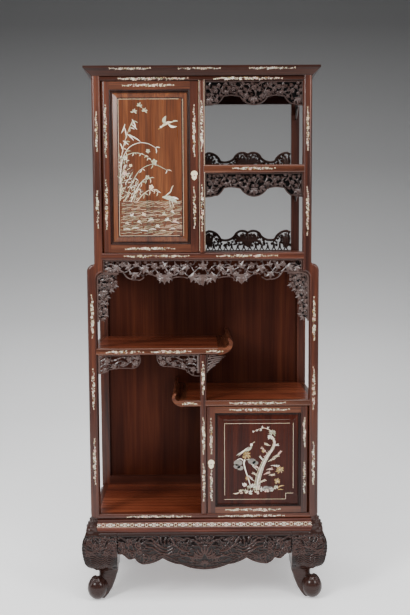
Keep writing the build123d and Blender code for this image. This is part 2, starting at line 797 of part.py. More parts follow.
# Carved and pierced pieces of the lower case

shoulder_drop = bottom_rail_bottom - shoulder_bottom
drawn_canopy_half = 351.5
canopy_edge = [
    [(0, 95), (27, 86), (55, 68)],
    [(55, 68), (83, 63), (111, 68)],
    [(111, 68), (134, 91), (158, 68)],
    [(158, 68), (180, 55), (203, 53)],
    [(203, 53), (242, 73), (281, shoulder_drop)],
    [(281, shoulder_drop), (drawn_canopy_half, shoulder_drop)],
]
spandrel_length = 175
spandrel_edge = [
    [(6, spandrel_length), (26, spandrel_length - 4), (40, 152)],
    [(40, 152), (49, 118), (46, 88)],
    [(46, 88), (66, 74), (74, 48)],
    [(74, 48), (82, 22), (79, joint_gap)],
    [(79, joint_gap), (head_round + joint_gap, joint_gap)],
    [
        (head_round + joint_gap, joint_gap),
        (joint_gap + corner_share * head_round, joint_gap + corner_share * head_round),
        (joint_gap, head_round + joint_gap),
    ],
    [(joint_gap, head_round + joint_gap), (0, head_round + 2 * joint_gap)],
    [(0, head_round + 2 * joint_gap), (0, spandrel_length)],
]
left_apron_edge = [
    [(0, 86), (35, 84), (57, 60)],
    [(57, 60), (93, 54), (130, 42)],
    [(130, 42), (153, 26), (160, 0)],
    [(160, 0), (0, 0)],
]
right_apron_edge = [
    [(0, 86), (29, 84), (49, 64)],
    [(49, 64), (87, 54), (126, 52)],
    [(126, 52), (147, 30), (159, 0)],
    [(159, 0), (0, 0)],
]
bracket_reach = mid_end - mid_scroll_size * 56 - centre_right
bracket_edge = [
    [(0, 74), (24, 56), (36, 40)],
    [(36, 40), (54, 26), (76, 9)],
    [(76, 9), (bracket_reach, 0)],
    [(bracket_reach, 0), (0, 0)],
]
drawn_side_edge_half = 173
lower_side_edge = [
    [(0, 35), (36, 41), (70, 29)],
    [(70, 29), (104, 45), (139, 59)],
    [(139, 59), (155, 79), (drawn_side_edge_half, 85)],
]


def hung_plate(edge, half, top):
    """Half of a scalloped edge, mirrored and closed along the straight top that it hangs from."""
    whole = mirrored(edge)
    return whole + [[(half, whole[-1][-1][1]), (half, top)], [(half, top), (-half, top)]]


with BuildPart() as canopy_apron:
    edge = fitted(canopy_edge, drawn_canopy_half, upper_face, bottom_rail_bottom)
    plate(hung_plate(edge, upper_face, bottom_rail_bottom), carving_y)
save(canopy_apron, "canopy_apron")

with BuildPart() as canopy_spandrels:
    for sign in (-1, 1):
        plate(hung_from(spandrel_edge, sign * lower_face, -sign, shoulder_bottom), carving_y)
save(canopy_spandrels, "canopy_spandrels")

with BuildPart() as mid_shelf_aprons:
    plate(hung_from(left_apron_edge, -lower_face, 1, mid_shelf_bottom), carving_y)
    plate(hung_from(right_apron_edge, centre_left, -1, mid_shelf_bottom), carving_y)
    plate(hung_from(bracket_edge, centre_right, 1, mid_shelf_bottom), carving_y)
save(mid_shelf_aprons, "mid_shelf_aprons")

with BuildPart() as lower_side_aprons:
    for sign in (-1, 1):
        x = (sign * upper_post_x - carving_thickness / 2, sign * upper_post_x + carving_thickness / 2)
        edge = fitted(lower_side_edge, drawn_side_edge_half, post_inner_y, bottom_rail_bottom)
        side_plate(hung_plate(edge, post_inner_y, bottom_rail_bottom), x)
save(lower_side_aprons, "lower_side_aprons")

# ------------------------------------------------------------------ upper case

upper_panel_z = (bottom_rail_top - panel_tongue, top_rail_bottom + panel_tongue)
deck_z = (bottom_rail_top - board_thickness, bottom_rail_top)
deck_x = grown((-upper_face, upper_face), rebate_width)
display_bearer_x = (partition_x[1], partition_x[1] + display_bearer_width)


def upper_side_panel_block(grow=0.0, mode=Mode.ADD):
    """Left wall of the upper cupboard, with its tongues; grow makes its grooves."""
    x = (-upper_post_x - panel_thickness / 2, -upper_post_x + panel_thickness / 2)
    block(grown(x, grow), grown(side_span, panel_tongue + grow), grown(upper_panel_z, grow), mode)


def upper_partition_block(grow=0.0, mode=Mode.ADD):
    """Wall between the cupboard and the display, its edges let into the centre posts."""
    y = grown(side_span, panel_tongue + grow)
    block(grown(partition_x, grow), y, (bottom_rail_top, top_rail_top), mode)


def upper_back_panel_block(grow=0.0, mode=Mode.ADD):
    """Back of the upper cupboard, with its tongues; grow makes its grooves."""
    x = (-upper_face - panel_tongue, centre_left + panel_tongue)
    z = (bottom_rail_top - panel_tongue, back_top_rail_z[0] + panel_tongue)
    block(grown(x, grow), grown(back_panel_y, grow), grown(z, grow), mode)


for corner, sign_x, out in corners:
    with BuildPart() as upper_post:
        upright(sign_x * upper_post_x, upper_post_width, out, (shoulder_top, top_rail_top))
        foot_tenon_block(sign_x, out)
        face = sign_x * upper_face
        side_x = span(sign_x, *upper_side_rail)
        x_rails = [top_rail_z if out < 0 else back_top_rail_z, bottom_rail_z]
        y_rails = [top_rail_z, bottom_rail_z]
        if sign_x > 0:
            x_rails.append(display_shelf_z)
            y_rails.append(display_shelf_z)
        for z in x_rails:
            tenon_along_x(face, sign_x, out, z, joint_clearance, Mode.SUBTRACT)
        for z in y_rails:
            tenon_along_y(side_x, out, z, joint_clearance, Mode.SUBTRACT)
        if out > 0:
            lower_back_panel_blocks(joint_clearance, Mode.SUBTRACT)
        if sign_x < 0:
            upper_side_panel_block(joint_clearance, Mode.SUBTRACT)
            upper_back_panel_block(joint_clearance, Mode.SUBTRACT)
    save(upper_post, f"upper_post_{corner}")

with BuildPart() as centre_posts_upper:
    for out in (-1, 1):
        top = (top_rail_z if out < 0 else back_top_rail_z)[0]
        upright(centre_x, centre_post_width, out, (bottom_rail_top, top))
        centre_tenon((bottom_rail_top - centre_tenon_length, bottom_rail_top + 1), out)
        centre_tenon((top - 1, top + centre_tenon_length), out)
        cut = (joint_clearance, Mode.SUBTRACT, centre_tenon_length)
        tenon_along_x(centre_right, -1, out, display_shelf_z, *cut)
    upper_partition_block(joint_clearance, Mode.SUBTRACT)
    upper_back_panel_block(joint_clearance, Mode.SUBTRACT)
    strike_mortise(centre_left, 1, upper_lock_z)
save(centre_posts_upper, "centre_posts_upper")


def centre_mortises(face_z, into, out):
    """Mortise in a rail for the end of an upper centre post."""
    depth = centre_tenon_length + joint_clearance
    z = (face_z - 1, face_z + depth) if into > 0 else (face_z - depth, face_z + 1)
    centre_tenon(z, out, joint_clearance, Mode.SUBTRACT)


with BuildPart() as top_rails:
    front_rail(upper_left_post, upper_right_post, -1, top_rail_z)
    front_rail(upper_left_post, upper_right_post, 1, back_top_rail_z)
    side_rail(span(-1, *upper_side_rail), -1, top_rail_z)
    side_rail(upper_side_rail, 1, top_rail_z)
    centre_mortises(top_rail_bottom, 1, -1)
    centre_mortises(back_top_rail_z[0], 1, 1)
    upper_side_panel_block(joint_clearance, Mode.SUBTRACT)
    upper_back_panel_block(joint_clearance, Mode.SUBTRACT)
    upper_partition_block(joint_clearance, Mode.SUBTRACT)
    pivot_hole(upper_pivot_x, top_rail_bottom, 1)
save(top_rails, "top_rails")

with BuildPart() as bottom_rails:
    for out in (-1, 1):
        front_rail(upper_left_post, upper_right_post, out, bottom_rail_z)
        centre_mortises(bottom_rail_top, -1, out)
    side_rail(span(-1, *upper_side_rail), -1, bottom_rail_z)
    side_rail(upper_side_rail, 1, bottom_rail_z)
    board_rebate(deck_x, floor_y, bottom_rail_top)
    lower_back_panel_blocks(joint_clearance, Mode.SUBTRACT)
    upper_side_panel_block(joint_clearance, Mode.SUBTRACT)
    upper_back_panel_block(joint_clearance, Mode.SUBTRACT)
    pivot_hole(upper_pivot_x, bottom_rail_top, -1)
save(bottom_rails, "bottom_rails")

with BuildPart() as deck_board:
    block(deck_x, floor_y, deck_z)
    for _, sign_x, out in corners:
        x = span(sign_x, upper_face - board_clearance, upper_half)
        block(x, span(out, post_inner_y - board_clearance, half_depth), deck_z, mode=Mode.SUBTRACT)
    for out in (-1, 1):
        centre_mortises(bottom_rail_top, -1, out)
    upper_side_panel_block(joint_clearance, Mode.SUBTRACT)
    upper_back_panel_block(joint_clearance, Mode.SUBTRACT)
    pivot_hole(upper_pivot_x, bottom_rail_top, -1)
save(deck_board, "deck_board")

with BuildPart() as upper_side_panel:
    upper_side_panel_block()
save(upper_side_panel, "upper_side_panel")

with BuildPart() as upper_partition:
    upper_partition_block()
save(upper_partition, "upper_partition")

with BuildPart() as upper_back_panel:
    upper_back_panel_block()
save(upper_back_panel, "upper_back_panel")

# Inner shelf of the cupboard on two bearers
shelf_z = (bottom_rail_top + inner_shelf_rise, bottom_rail_top + inner_shelf_rise + inner_shelf_thickness)
wall_x = (-upper_post_x + panel_thickness / 2, partition_x[0])
shelf_depth = (door_y[1] + inner_shelf_gap, post_inner_y - 1)

with BuildPart() as inner_shelf_bearers:
    bearer_z = (shelf_z[0] - bearer_size, shelf_z[0])
    block((wall_x[0], wall_x[0] + bearer_size), grown(side_span, -1), bearer_z)
    block((wall_x[1] - bearer_size, wall_x[1]), grown(side_span, -1), bearer_z)
save(inner_shelf_bearers, "inner_shelf_bearers")

with BuildPart() as inner_shelf:
    block(grown(wall_x, -1), shelf_depth, shelf_z)
save(inner_shelf, "inner_shelf")

# Display shelf
display_rebate_x = (display_bearer_x[1] - rebate_width, upper_face + rebate_width)
display_post = (centre_right, centre_x, centre_post_width)


def display_rail(out):
    """Rail of the display shelf between a centre post and a right post, with a short tenon at the left."""
    rail_along_x((centre_right - post_round, upper_face + post_round), out, display_shelf_z)
    for _, centre, width in (display_post, upper_right_post):
        upright(centre, width, out, grown(display_shelf_z, 1), mode=Mode.SUBTRACT)
    tenon_along_x(centre_right, -1, out, display_shelf_z, length=centre_tenon_length)
    tenon_along_x(upper_face, 1, out, display_shelf_z)


with BuildPart() as display_shelf_rails:
    display_rail(-1)
    display_rail(1)
    side_rail(upper_side_rail, 1, display_shelf_z)
    block(display_bearer_x, grown(side_span, -joint_gap), display_shelf_z)
    board_rebate(display_rebate_x, floor_y, display_shelf_top)
save(display_shelf_rails, "display_shelf_rails")

with BuildPart() as display_shelf_board:
    board_z = (display_shelf_top - board_thickness, display_shelf_top)
    block(display_rebate_x, floor_y, board_z)
    for out in (-1, 1):
        y = span(out, post_inner_y - board_clearance, half_depth)
        block((upper_face - board_clearance, upper_half), y, board_z, mode=Mode.SUBTRACT)
save(display_shelf_board, "display_shelf_board")

# Carved and pierced pieces of the display
display_middle = (centre_right + upper_face) / 2
display_half = (upper_face - centre_right) / 2


# Half edges drawn as (distance from the middle, depth below the rail); a gallery stands up, above the rail
drawn_display_half = 171
display_apron_edge = [
    [(0, 84), (26, 77), (48, 56)],
    [(48, 56), (75, 51), (111, 56)],
    [(111, 56), (137, 80), (drawn_display_half, 84)],
]
gallery_edge = [
    [(0, -78), (30, -84), (56, -62)],
    [(56, -62), (66, -54), (105, -50)],
    [(105, -50), (127, -76), (157, -84)],
    [(157, -84), (drawn_display_half, -76)],
]
display_side_edge = [
    [(0, 44), (40, 40), (103, 44)],
    [(103, 44), (143, 66), (drawn_side_edge_half, 84)],
]


def display_plate(edge, straight_z, y):
    """Plate between the centre and right posts, with a shaped edge and a straight one."""
    edge = fitted(edge, drawn_display_half, display_half, straight_z)
    outline = hung_plate(edge, display_half, straight_z)
    plate([[(display_middle + x, z) for x, z in points] for points in outline], y)


with BuildPart() as display_aprons:
    for top in (top_rail_bottom, display_shelf_bottom):
        display_plate(display_apron_edge, top, carving_y)
save(display_aprons, "display_aprons")

with BuildPart() as display_galleries:
    gallery_y = (back_panel_y[0], back_panel_y[0] + carving_thickness)
    for base in (bottom_rail_top, display_shelf_top):
        display_plate(gallery_edge, base, gallery_y)
save(display_galleries, "display_galleries")

with BuildPart() as display_side_aprons:
    x = (upper_post_x - carving_thickness / 2, upper_post_x + carving_thickness / 2)
    for top in (top_rail_bottom, display_shelf_bottom):
        edge = fitted(display_side_edge, drawn_side_edge_half, post_inner_y, top)
        side_plate(hung_plate(edge, post_inner_y, top), x)
save(display_side_aprons, "display_side_aprons")

# Cornice and top board
cornice_profile = [
    [
        (0, top_rail_top),
        (cornice_overhang * 0.36, top_rail_top + 9),
        (cornice_overhang, cabinet_height - cornice_fillet),
    ],
    [(cornice_overhang, cabinet_height - cornice_fillet), (cornice_overhang, cabinet_height)],
    [(cornice_overhang, cabinet_height), (-cornice_rail_width, cabinet_height)],
    [(-cornice_rail_width, cabinet_height), (-cornice_rail_width, top_rail_top)],
]
top_board_z = (cabinet_height - top_board_drop - board_thickness, cabinet_height - top_board_drop)
top_board_x = grown((-upper_half + cornice_rail_width, upper_half - cornice_rail_width), rebate_width)
top_board_y = grown((-half_depth + cornice_rail_width, half_depth - cornice_rail_width), rebate_width)
cornice_rails = []
for along_x in (True, False):
    for sign in (-1, 1):
        with BuildPart() as cornice_rail:
            mitred_rail(
                cornice_profile,
                upper_half,
                half_depth,
                cornice_overhang,
                cornice_rail_width,
                (top_rail_top - 1, cabinet_height + 1),
                along_x,
                sign,
            )
            x = grown(top_board_x, board_clearance)
            block(x, grown(top_board_y, board_clearance), top_board_z, mode=Mode.SUBTRACT)
        cornice_rails.append(cornice_rail.part)

with BuildPart() as cornice:
    add(cornice_rails)
save(cornice, "cornice")

with BuildPart() as top_board:
    block(top_board_x, top_board_y, top_board_z)
save(top_board, "top_board")

# ------------------------------------------------------------------ doors


def door(prefix, x, z, hinge, rail_width, notch, lock_z):
    """A framed door with its raised panel, lock and escutcheon; hinge is -1 on the left, 1 on the right."""
    free = -hinge
    hinge_edge, lock_edge = (x[0], x[1]) if hinge < 0 else (x[1], x[0])
    pivot_x = hinge_edge + free * door_thickness / 2
    inner_x = grown(x, -stile_width)
    inner_z = grown(z, -rail_width)
    border_y = door_y[0] + panel_setback + panel_rise
    tongue_y = (border_y, border_y + panel_back_thickness)
    lock_x = tuple(sorted((lock_edge, lock_edge - free * lock_width)))
    lock_y = (door_y[1] - lock_depth, door_y[1])
    lock_span = (lock_z - lock_height / 2, lock_z + lock_height / 2)
    bolt_x = tuple(sorted((lock_edge, lock_edge - free * bolt_length)))
    bolt_z = (lock_z - bolt_height / 2, lock_z + bolt_height / 2)
    keyhole_x = lock_edge - free * stile_width / 2

    def panel_block(grow=0.0, mode=Mode.ADD):
        """The flat back of the panel with its tongues; grow makes the grooves of the frame."""
        reach = panel_tongue + grow
        block(grown(inner_x, reach), grown(tongue_y, grow), grown(inner_z, reach), mode)

    def rail_tenons(z_rail, grow=0.0, mode=Mode.ADD):
        """Tenons at both ends of a door rail; grow makes their mortises."""
        y = grown((pivot_y + 1, pivot_y + 1 + tenon_thickness), grow)
        height = grown(z_rail, grow - tenon_shoulder)
        block((inner_x[0] - door_tenon - grow, inner_x[0] + 1), y, height, mode)
        block((inner_x[1] - 1, inner_x[1] + door_tenon + grow), y, height, mode)

    def keyhole(y):
        """Round hole for the key through the stretch y."""
        with Locations(Location((keyhole_x, sum(y) / 2, lock_z), (90, 0, 0))):
            Cylinder(keyhole_radius, y[1] - y[0], mode=Mode.SUBTRACT)

    rail_spans = ((z[0], inner_z[0]), (inner_z[1], z[1]))
    with BuildPart() as stiles:
        with BuildSketch(Plane.XY.offset(z[0])) as section:
            with Locations((pivot_x, pivot_y)):
                Circle(door_thickness / 2)
            inner_edge = hinge_edge + free * stile_width
            with Locations(((pivot_x + inner_edge) / 2, pivot_y)):
                Rectangle(abs(inner_edge - pivot_x), door_thickness)
        extrude(section.sketch, amount=z[1] - z[0])
        block(sorted((lock_edge, lock_edge - free * stile_width)), door_y, z)
        for rail_span in rail_spans:
            rail_tenons(rail_span, joint_clearance, Mode.SUBTRACT)
        panel_block(joint_clearance, Mode.SUBTRACT)
        block(lock_x, lock_y, lock_span, mode=Mode.SUBTRACT)
        keyhole(grown(door_y, 1))
        for end in ((z[0] - 1, z[0] + pin_in_stile), (z[1] - pin_in_stile, z[1] + 1)):
            round_bore(pivot_x, pivot_y, pin_radius + pin_clearance, end)
    save(stiles, f"{prefix}_door_stiles")

    with BuildPart() as rails:
        for rail_span in rail_spans:
            block(inner_x, door_y, rail_span)
            rail_tenons(rail_span)
        panel_block(joint_clearance, Mode.SUBTRACT)
    save(rails, f"{prefix}_door_rails")

    field_x = grown(inner_x, -panel_border)
    field_z = grown(inner_z, -panel_border)

    def field_outline(amount):
        """Outline of the raised field, grown by amount, with its lower right corner notched."""
        (left, right), (low, high) = grown(field_x, amount), grown(field_z, amount)
        corner = [(right, low)]
        if notch:
            corner = [(right - notch, low), (right - notch, low + notch), (right, low + notch)]
        return [(left, high), (left, low)] + corner + [(right, high)]

    with BuildPart() as panel:
        panel_block()
        with BuildSketch(Plane.XZ.offset(-border_y - 1)) as base:
            with BuildLine():
                Polyline(*field_outline(panel_border - 6), close=True)
            make_face()
        with BuildSketch(Plane.XZ.offset(-border_y + panel_rise)) as top:
            with BuildLine():
                Polyline(*field_outline(0), close=True)
            make_face()
        loft([base.sketch, top.sketch], ruled=True)
    save(panel, f"{prefix}_door_panel")

    with BuildPart() as lock_case:
        block(lock_x, lock_y, lock_span)
        channel = tuple(sorted((lock_edge + free, lock_edge - free * (bolt_length + bolt_clearance))))
        block(channel, grown(bolt_y, bolt_clearance), grown(bolt_z, bolt_clearance), mode=Mode.SUBTRACT)
        keyhole((lock_y[0] - 1, bolt_y[0]))
    save(lock_case, f"{prefix}_lock_case")

    with BuildPart() as lock_bolt:
        block(bolt_x, bolt_y, bolt_z)
    save(lock_bolt, f"{prefix}_lock_bolt")

    with BuildPart() as escutcheon:
        half_w, half_h = escutcheon_width / 2, escutcheon_height / 2
        lobes = [
            [(0, half_h), (half_w * 0.75, half_h * 0.75), (half_w, half_h * 0.2)],
            [(half_w, half_h * 0.2), (half_w * 0.72, 0), (half_w * 0.8, -half_h * 0.35)],
            [(half_w * 0.8, -half_h * 0.35), (half_w * 0.45, -half_h * 0.75), (0, -half_h)],
        ]
        half_outline = [[(keyhole_x + dx, lock_z + dz) for dx, dz in points] for points in lobes]
        other_half = mirrored(half_outline, keyhole_x)[: len(lobes)]
        with BuildSketch(Plane.XZ.offset(-door_y[0])) as face:
            with BuildLine():
                curves(half_outline + other_half)
            make_face()
        extrude(face.sketch, amount=escutcheon_thickness)
        keyhole((door_y[0] - escutcheon_thickness - 1, door_y[0] + 1))
    save(escutcheon, f"{prefix}_escutcheon")


door("upper", upper_door_x, upper_door_z, -1, upper_door_rail_width, 0, upper_lock_z)
door("lower", lower_door_x, lower_door_z, 1, lower_door_rail_width, field_notch, lower_lock_z)

with BuildPart() as door_pivot_pins:
    for pivot_x, door_z in ((upper_pivot_x, upper_door_z), (lower_pivot_x, lower_door_z)):
        for face_z, away in ((door_z[0], -1), (door_z[1], 1)):
            rail_face = face_z + away * door_gap
            pin_z = sorted((face_z - away * (pin_in_stile - 1), rail_face + away * pin_in_rail))
            collar_z = sorted((rail_face, face_z + away * collar_clearance))
            round_bore(pivot_x, pivot_y, pin_radius, pin_z, mode=Mode.ADD)
            round_bore(pivot_x, pivot_y, collar_radius, collar_z, mode=Mode.ADD)
save(door_pivot_pins, "door_pivot_pins")
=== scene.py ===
import random
from math import atan2, copysign, cos, hypot, inf, pi, radians, sin, tau

import bmesh
import bpy
import numpy as np
from mathutils import Matrix, Vector
from mathutils.bvhtree import BVHTree


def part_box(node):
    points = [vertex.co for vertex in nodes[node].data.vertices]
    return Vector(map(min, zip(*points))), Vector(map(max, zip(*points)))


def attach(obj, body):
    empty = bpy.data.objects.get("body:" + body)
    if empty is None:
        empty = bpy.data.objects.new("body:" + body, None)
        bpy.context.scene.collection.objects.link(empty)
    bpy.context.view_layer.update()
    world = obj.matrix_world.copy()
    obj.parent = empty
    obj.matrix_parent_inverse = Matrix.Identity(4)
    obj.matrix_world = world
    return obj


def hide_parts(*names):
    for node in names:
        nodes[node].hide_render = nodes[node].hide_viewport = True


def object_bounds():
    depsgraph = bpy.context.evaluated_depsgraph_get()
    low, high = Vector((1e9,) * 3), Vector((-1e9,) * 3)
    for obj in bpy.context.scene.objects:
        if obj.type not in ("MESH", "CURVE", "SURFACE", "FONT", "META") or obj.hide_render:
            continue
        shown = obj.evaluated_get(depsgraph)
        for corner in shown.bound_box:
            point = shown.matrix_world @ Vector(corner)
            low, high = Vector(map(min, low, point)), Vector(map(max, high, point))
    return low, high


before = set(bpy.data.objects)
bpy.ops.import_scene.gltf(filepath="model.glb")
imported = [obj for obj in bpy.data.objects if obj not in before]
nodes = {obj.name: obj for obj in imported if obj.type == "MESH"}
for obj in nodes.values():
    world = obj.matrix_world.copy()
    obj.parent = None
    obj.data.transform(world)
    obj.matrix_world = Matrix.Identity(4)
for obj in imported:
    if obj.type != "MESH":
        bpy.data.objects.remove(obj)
cad_low, cad_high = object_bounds()

# Looks of the book cabinet: polished rosewood, pierced and relief carving, and mother-of-pearl inlay.
# Every length is in metres. MM turns the millimetres that the carver's patterns are drawn in into metres.
MM = 0.001
scene = bpy.context.scene


# ------------------------------------------------------------------ materials


def colour(red, green, blue):
    """A colour given as 0 to 255 values on a screen, as the linear RGBA that the shaders take."""
    values = [v / 255 for v in (red, green, blue)]
    return tuple(v / 12.92 if v <= 0.04045 else ((v + 0.055) / 1.055) ** 2.4 for v in values) + (1.0,)


def grey(value):
    """A shade of grey from 0 to 1, as linear RGBA."""
    return (value, value, value, 1.0)


# Multiplied with a tone, this leaves it as it is
UNCHANGED = (255, 255, 255)


class Shader:
    """A node material under construction."""

    def __init__(self, name, roughness, **sockets):
        self.material = bpy.data.materials.new(name)
        self.material.use_nodes = True
        self.tree = self.material.node_tree
        self.surface = self.tree.nodes["Principled BSDF"]
        self.surface.inputs["Roughness"].default_value = roughness
        for socket, value in sockets.items():
            self.surface.inputs[socket.replace("_", " ")].default_value = value

    def node(self, kind, **values):
        made = self.tree.nodes.new("ShaderNode" + kind)
        for key, value in values.items():
            setattr(made, key, value)
        return made

    def link(self, source, target):
        self.tree.links.new(source, target)

    def math(self, operation, first, second=None):
        made = self.node("Math", operation=operation)
        for socket, value in zip(made.inputs, (first, second)):
            if isinstance(value, (int, float)):
                socket.default_value = value
            elif value is not None:
                self.link(value, socket)
        return made.outputs[0]

    def own_place(self):
        """The piece's own coordinates, in metres."""
        return self.node("TexCoord").outputs["Object"]

    def axes(self):
        """The X, Y and Z of the piece's own coordinates."""
        parts = self.node("SeparateXYZ")
        self.link(self.own_place(), parts.inputs["Vector"])
        return parts.outputs

    def place(self, scale):
        """The piece's own coordinates, stretched by scale along X, Y and Z."""
        stretched = self.node("Mapping")
        stretched.inputs["Scale"].default_value = scale
        self.link(self.own_place(), stretched.inputs["Vector"])
        return stretched.outputs["Vector"]

    def noise(self, vector, scale, detail=4.0, roughness=0.55, distortion=0.0):
        made = self.node("TexNoise")
        values = (scale, detail, roughness, distortion)
        for socket, value in zip(("Scale", "Detail", "Roughness", "Distortion"), values):
            made.inputs[socket].default_value = value
        self.link(vector, made.inputs["Vector"])
        return made.outputs["Fac"]

    def tinted(self, tone, share, factor, *stops):
        """A tone multiplied, by a share, with a ramp of screen colours."""
        ramp = self.ramp(factor, *((position, colour(*value)) for position, value in stops))
        return self.mix(share, tone, ramp, "MULTIPLY")

    def ramp(self, factor, *stops):
        made = self.node("ValToRGB")
        elements = made.color_ramp.elements
        while len(elements) < len(stops):
            elements.new(0.5)
        for element, (position, value) in zip(elements, stops):
            element.position = position
            element.color = value
        self.link(factor, made.inputs["Fac"])
        return made.outputs["Color"]

    def mix(self, factor, first, second, blend="MIX"):
        made = self.node("Mix", data_type="RGBA", blend_type=blend)
        for socket, value in ((made.inputs[0], factor), (made.inputs[6], first), (made.inputs[7], second)):
            if isinstance(value, (int, float, tuple)):
                socket.default_value = value
            else:
                self.link(value, socket)
        return made.outputs[2]

    def bump(self, height, strength, distance):
        made = self.node("Bump")
        made.inputs["Strength"].default_value = strength
        made.inputs["Distance"].default_value = distance
        self.link(height, made.inputs["Height"])
        self.link(made.outputs["Normal"], self.surface.inputs["Normal"])


# Rails nearer than this to the middle, from front to back, run along Y
SIDE_RAIL_REACH = 0.1725


def grain_place(shader, grain, along, across):
    """Coordinates in which the figure of the wood is drawn out along the grain."""
    if grain != "RAIL":
        return shader.place(tuple(along if axis == grain else across for axis in "XYZ"))
    # Rails at the front and back run along X, and those between a front and a back post along Y.
    front = shader.math("GREATER_THAN", shader.math("ABSOLUTE", shader.axes()["Y"]), SIDE_RAIL_REACH)
    mixed = shader.node("Mix", data_type="VECTOR")
    shader.link(front, mixed.inputs[0])
    shader.link(shader.place((across, along, across)), mixed.inputs[4])
    shader.link(shader.place((along, across, across)), mixed.inputs[5])
    return mixed.outputs[1]


def rosewood(
    name, grain, dark, mid, light, roughness=0.34, coat=0.25, figure=34.0, shade_and_highlight=None, streak=0.6,
    shine=0.32
):
    """Polished rosewood with its grain along an axis.

    For carved wood a pair of tones paints light: shade that darkens its hollows, and a highlight on its high
    places."""
    shader = Shader(name, roughness, Coat_Weight=coat, Coat_Roughness=0.16, Specular_IOR_Level=shine)
    long_place = grain_place(shader, grain, 0.035, 1.0)
    bands = shader.noise(long_place, figure, 5.0, 0.6, 1.1)
    tone = shader.ramp(bands, (0.30, colour(*dark)), (0.50, colour(*mid)), (0.70, colour(*light)))
    streaks = shader.noise(grain_place(shader, grain, 0.018, 1.0), figure * 9, 3.0, 0.7)
    tone = shader.tinted(tone, streak, streaks, (0.34, (150, 138, 134)), (0.56, UNCHANGED))
    clouds = shader.noise(shader.own_place(), 3.1, 2.0)
    tone = shader.tinted(tone, 0.8, clouds, (0.36, (205, 188, 182)), (0.62, UNCHANGED))
    # Painted shade darkens the hollows and a painted highlight lights the high places, by each vertex's
    # "relief" value
    if shade_and_highlight:
        height = shader.node("Attribute", attribute_name="relief").outputs["Fac"]
        high = shader.ramp(height, (0.25, grey(0.0)), (0.85, grey(1.0)))
        tone = shader.tinted(tone, 1.0, height, (0.0, shade_and_highlight[0]), (0.45, UNCHANGED))
        tone = shader.mix(high, tone, shader.mix(0.55, tone, colour(*shade_and_highlight[1])))
    shader.link(tone, shader.surface.inputs["Base Color"])
    rough = shader.ramp(streaks, (0.3, grey(roughness + 0.10)), (0.7, grey(roughness - 0.06)))
    shader.link(rough, shader.surface.inputs["Roughness"])
    shader.bump(streaks, 0.22, 0.0004)
    return shader.material


SHELL_TONES = (
    (186, 150, 88), (240, 222, 196), (232, 190, 178), (250, 246, 236), (188, 190, 164), (112, 104, 100)
)


def pearl(name, whole=None):
    """Mother-of-pearl, with a tone for each chip from the attribute "tone", or whole as the tone of all."""
    shader = Shader(name, 0.22, Coat_Weight=0.6, Coat_Roughness=0.08, Specular_IOR_Level=0.7)
    place = shader.own_place()
    if whole is None:
        chips = shader.node("Attribute", attribute_name="tone").outputs["Fac"]
        last = len(SHELL_TONES) - 1
        tone = shader.ramp(chips, *((i / last, colour(*value)) for i, value in enumerate(SHELL_TONES)))
    else:
        tone = colour(*whole)
    lustre = shader.noise(place, 130.0, 2.0, 0.5, 0.6)
    tone = shader.tinted(
        tone, 0.7, lustre, (0.30, (255, 214, 214)), (0.46, UNCHANGED), (0.56, (222, 240, 214)),
        (0.68, (255, 250, 226)),
    )
    lines = shader.noise(place, 900.0, 2.0)
    tone = shader.tinted(tone, 0.6, lines, (0.35, (196, 186, 178)), (0.6, UNCHANGED))
    shader.link(tone, shader.surface.inputs["Base Color"])
    shader.bump(lines, 0.15, 0.0001)
    return shader.material


def aged_brass():
    shader = Shader("aged_brass", 0.35, Metallic=1.0)
    spots = shader.noise(shader.own_place(), 140.0, 4.0)
    tone = shader.ramp(spots, (0.35, colour(96, 74, 40)), (0.65, colour(190, 156, 92)))
    shader.link(tone, shader.surface.inputs["Base Color"])
    shader.bump(spots, 0.2, 0.0003)
    return shader.material


POST_TONES = ((44, 18, 12), (74, 36, 23), (102, 54, 34))
PANEL_TONES = ((68, 33, 16), (100, 54, 28), (124, 74, 40))
LOWER_PANEL_TONES = ((44, 15, 9), (62, 24, 14), (78, 32, 19))
BACK_TONES = ((50, 20, 11), (66, 29, 16), (84, 41, 23))
# Lighter copy of the rosewood: painted light on the tops of the shelves and floor boards
LIT_FLOOR_TONES = ((74, 31, 18), (112, 55, 35), (144, 80, 52))
MOULDING_TONES = ((28, 14, 12), (42, 24, 20), (62, 38, 33))
# Lighter, more orange copy of the rosewood for the shelf and door rails: partly their own hue, partly painted
# light on their rounded tops
LIT_RAIL_TONES = ((54, 26, 15), (88, 48, 30), (118, 71, 47))
STAND_FRAME_TONES = ((58, 26, 18), (90, 46, 34), (116, 66, 50))
# Darker copy of the rosewood: painted shade on the fronts of the cornice and the top rails
SHADED_CROWN_TONES = ((26, 10, 6), (45, 20, 12), (64, 31, 19))
# Pairs of tones for carving: painted shade for the hollows and gaps, then a painted highlight for the high
# places
PIERCED_SHADE_AND_HIGHLIGHT = ((50, 39, 36), (104, 84, 78))
DISPLAY_SHADE_AND_HIGHLIGHT = ((36, 28, 26), (82, 66, 62))
CARVED_TONES = ((26, 13, 10), (37, 20, 16), (50, 29, 24))
# The same pair, painted shade then painted highlight, for the relief carving of the stand
CARVED_SHADE_AND_HIGHLIGHT = ((172, 162, 158), (72, 48, 42))

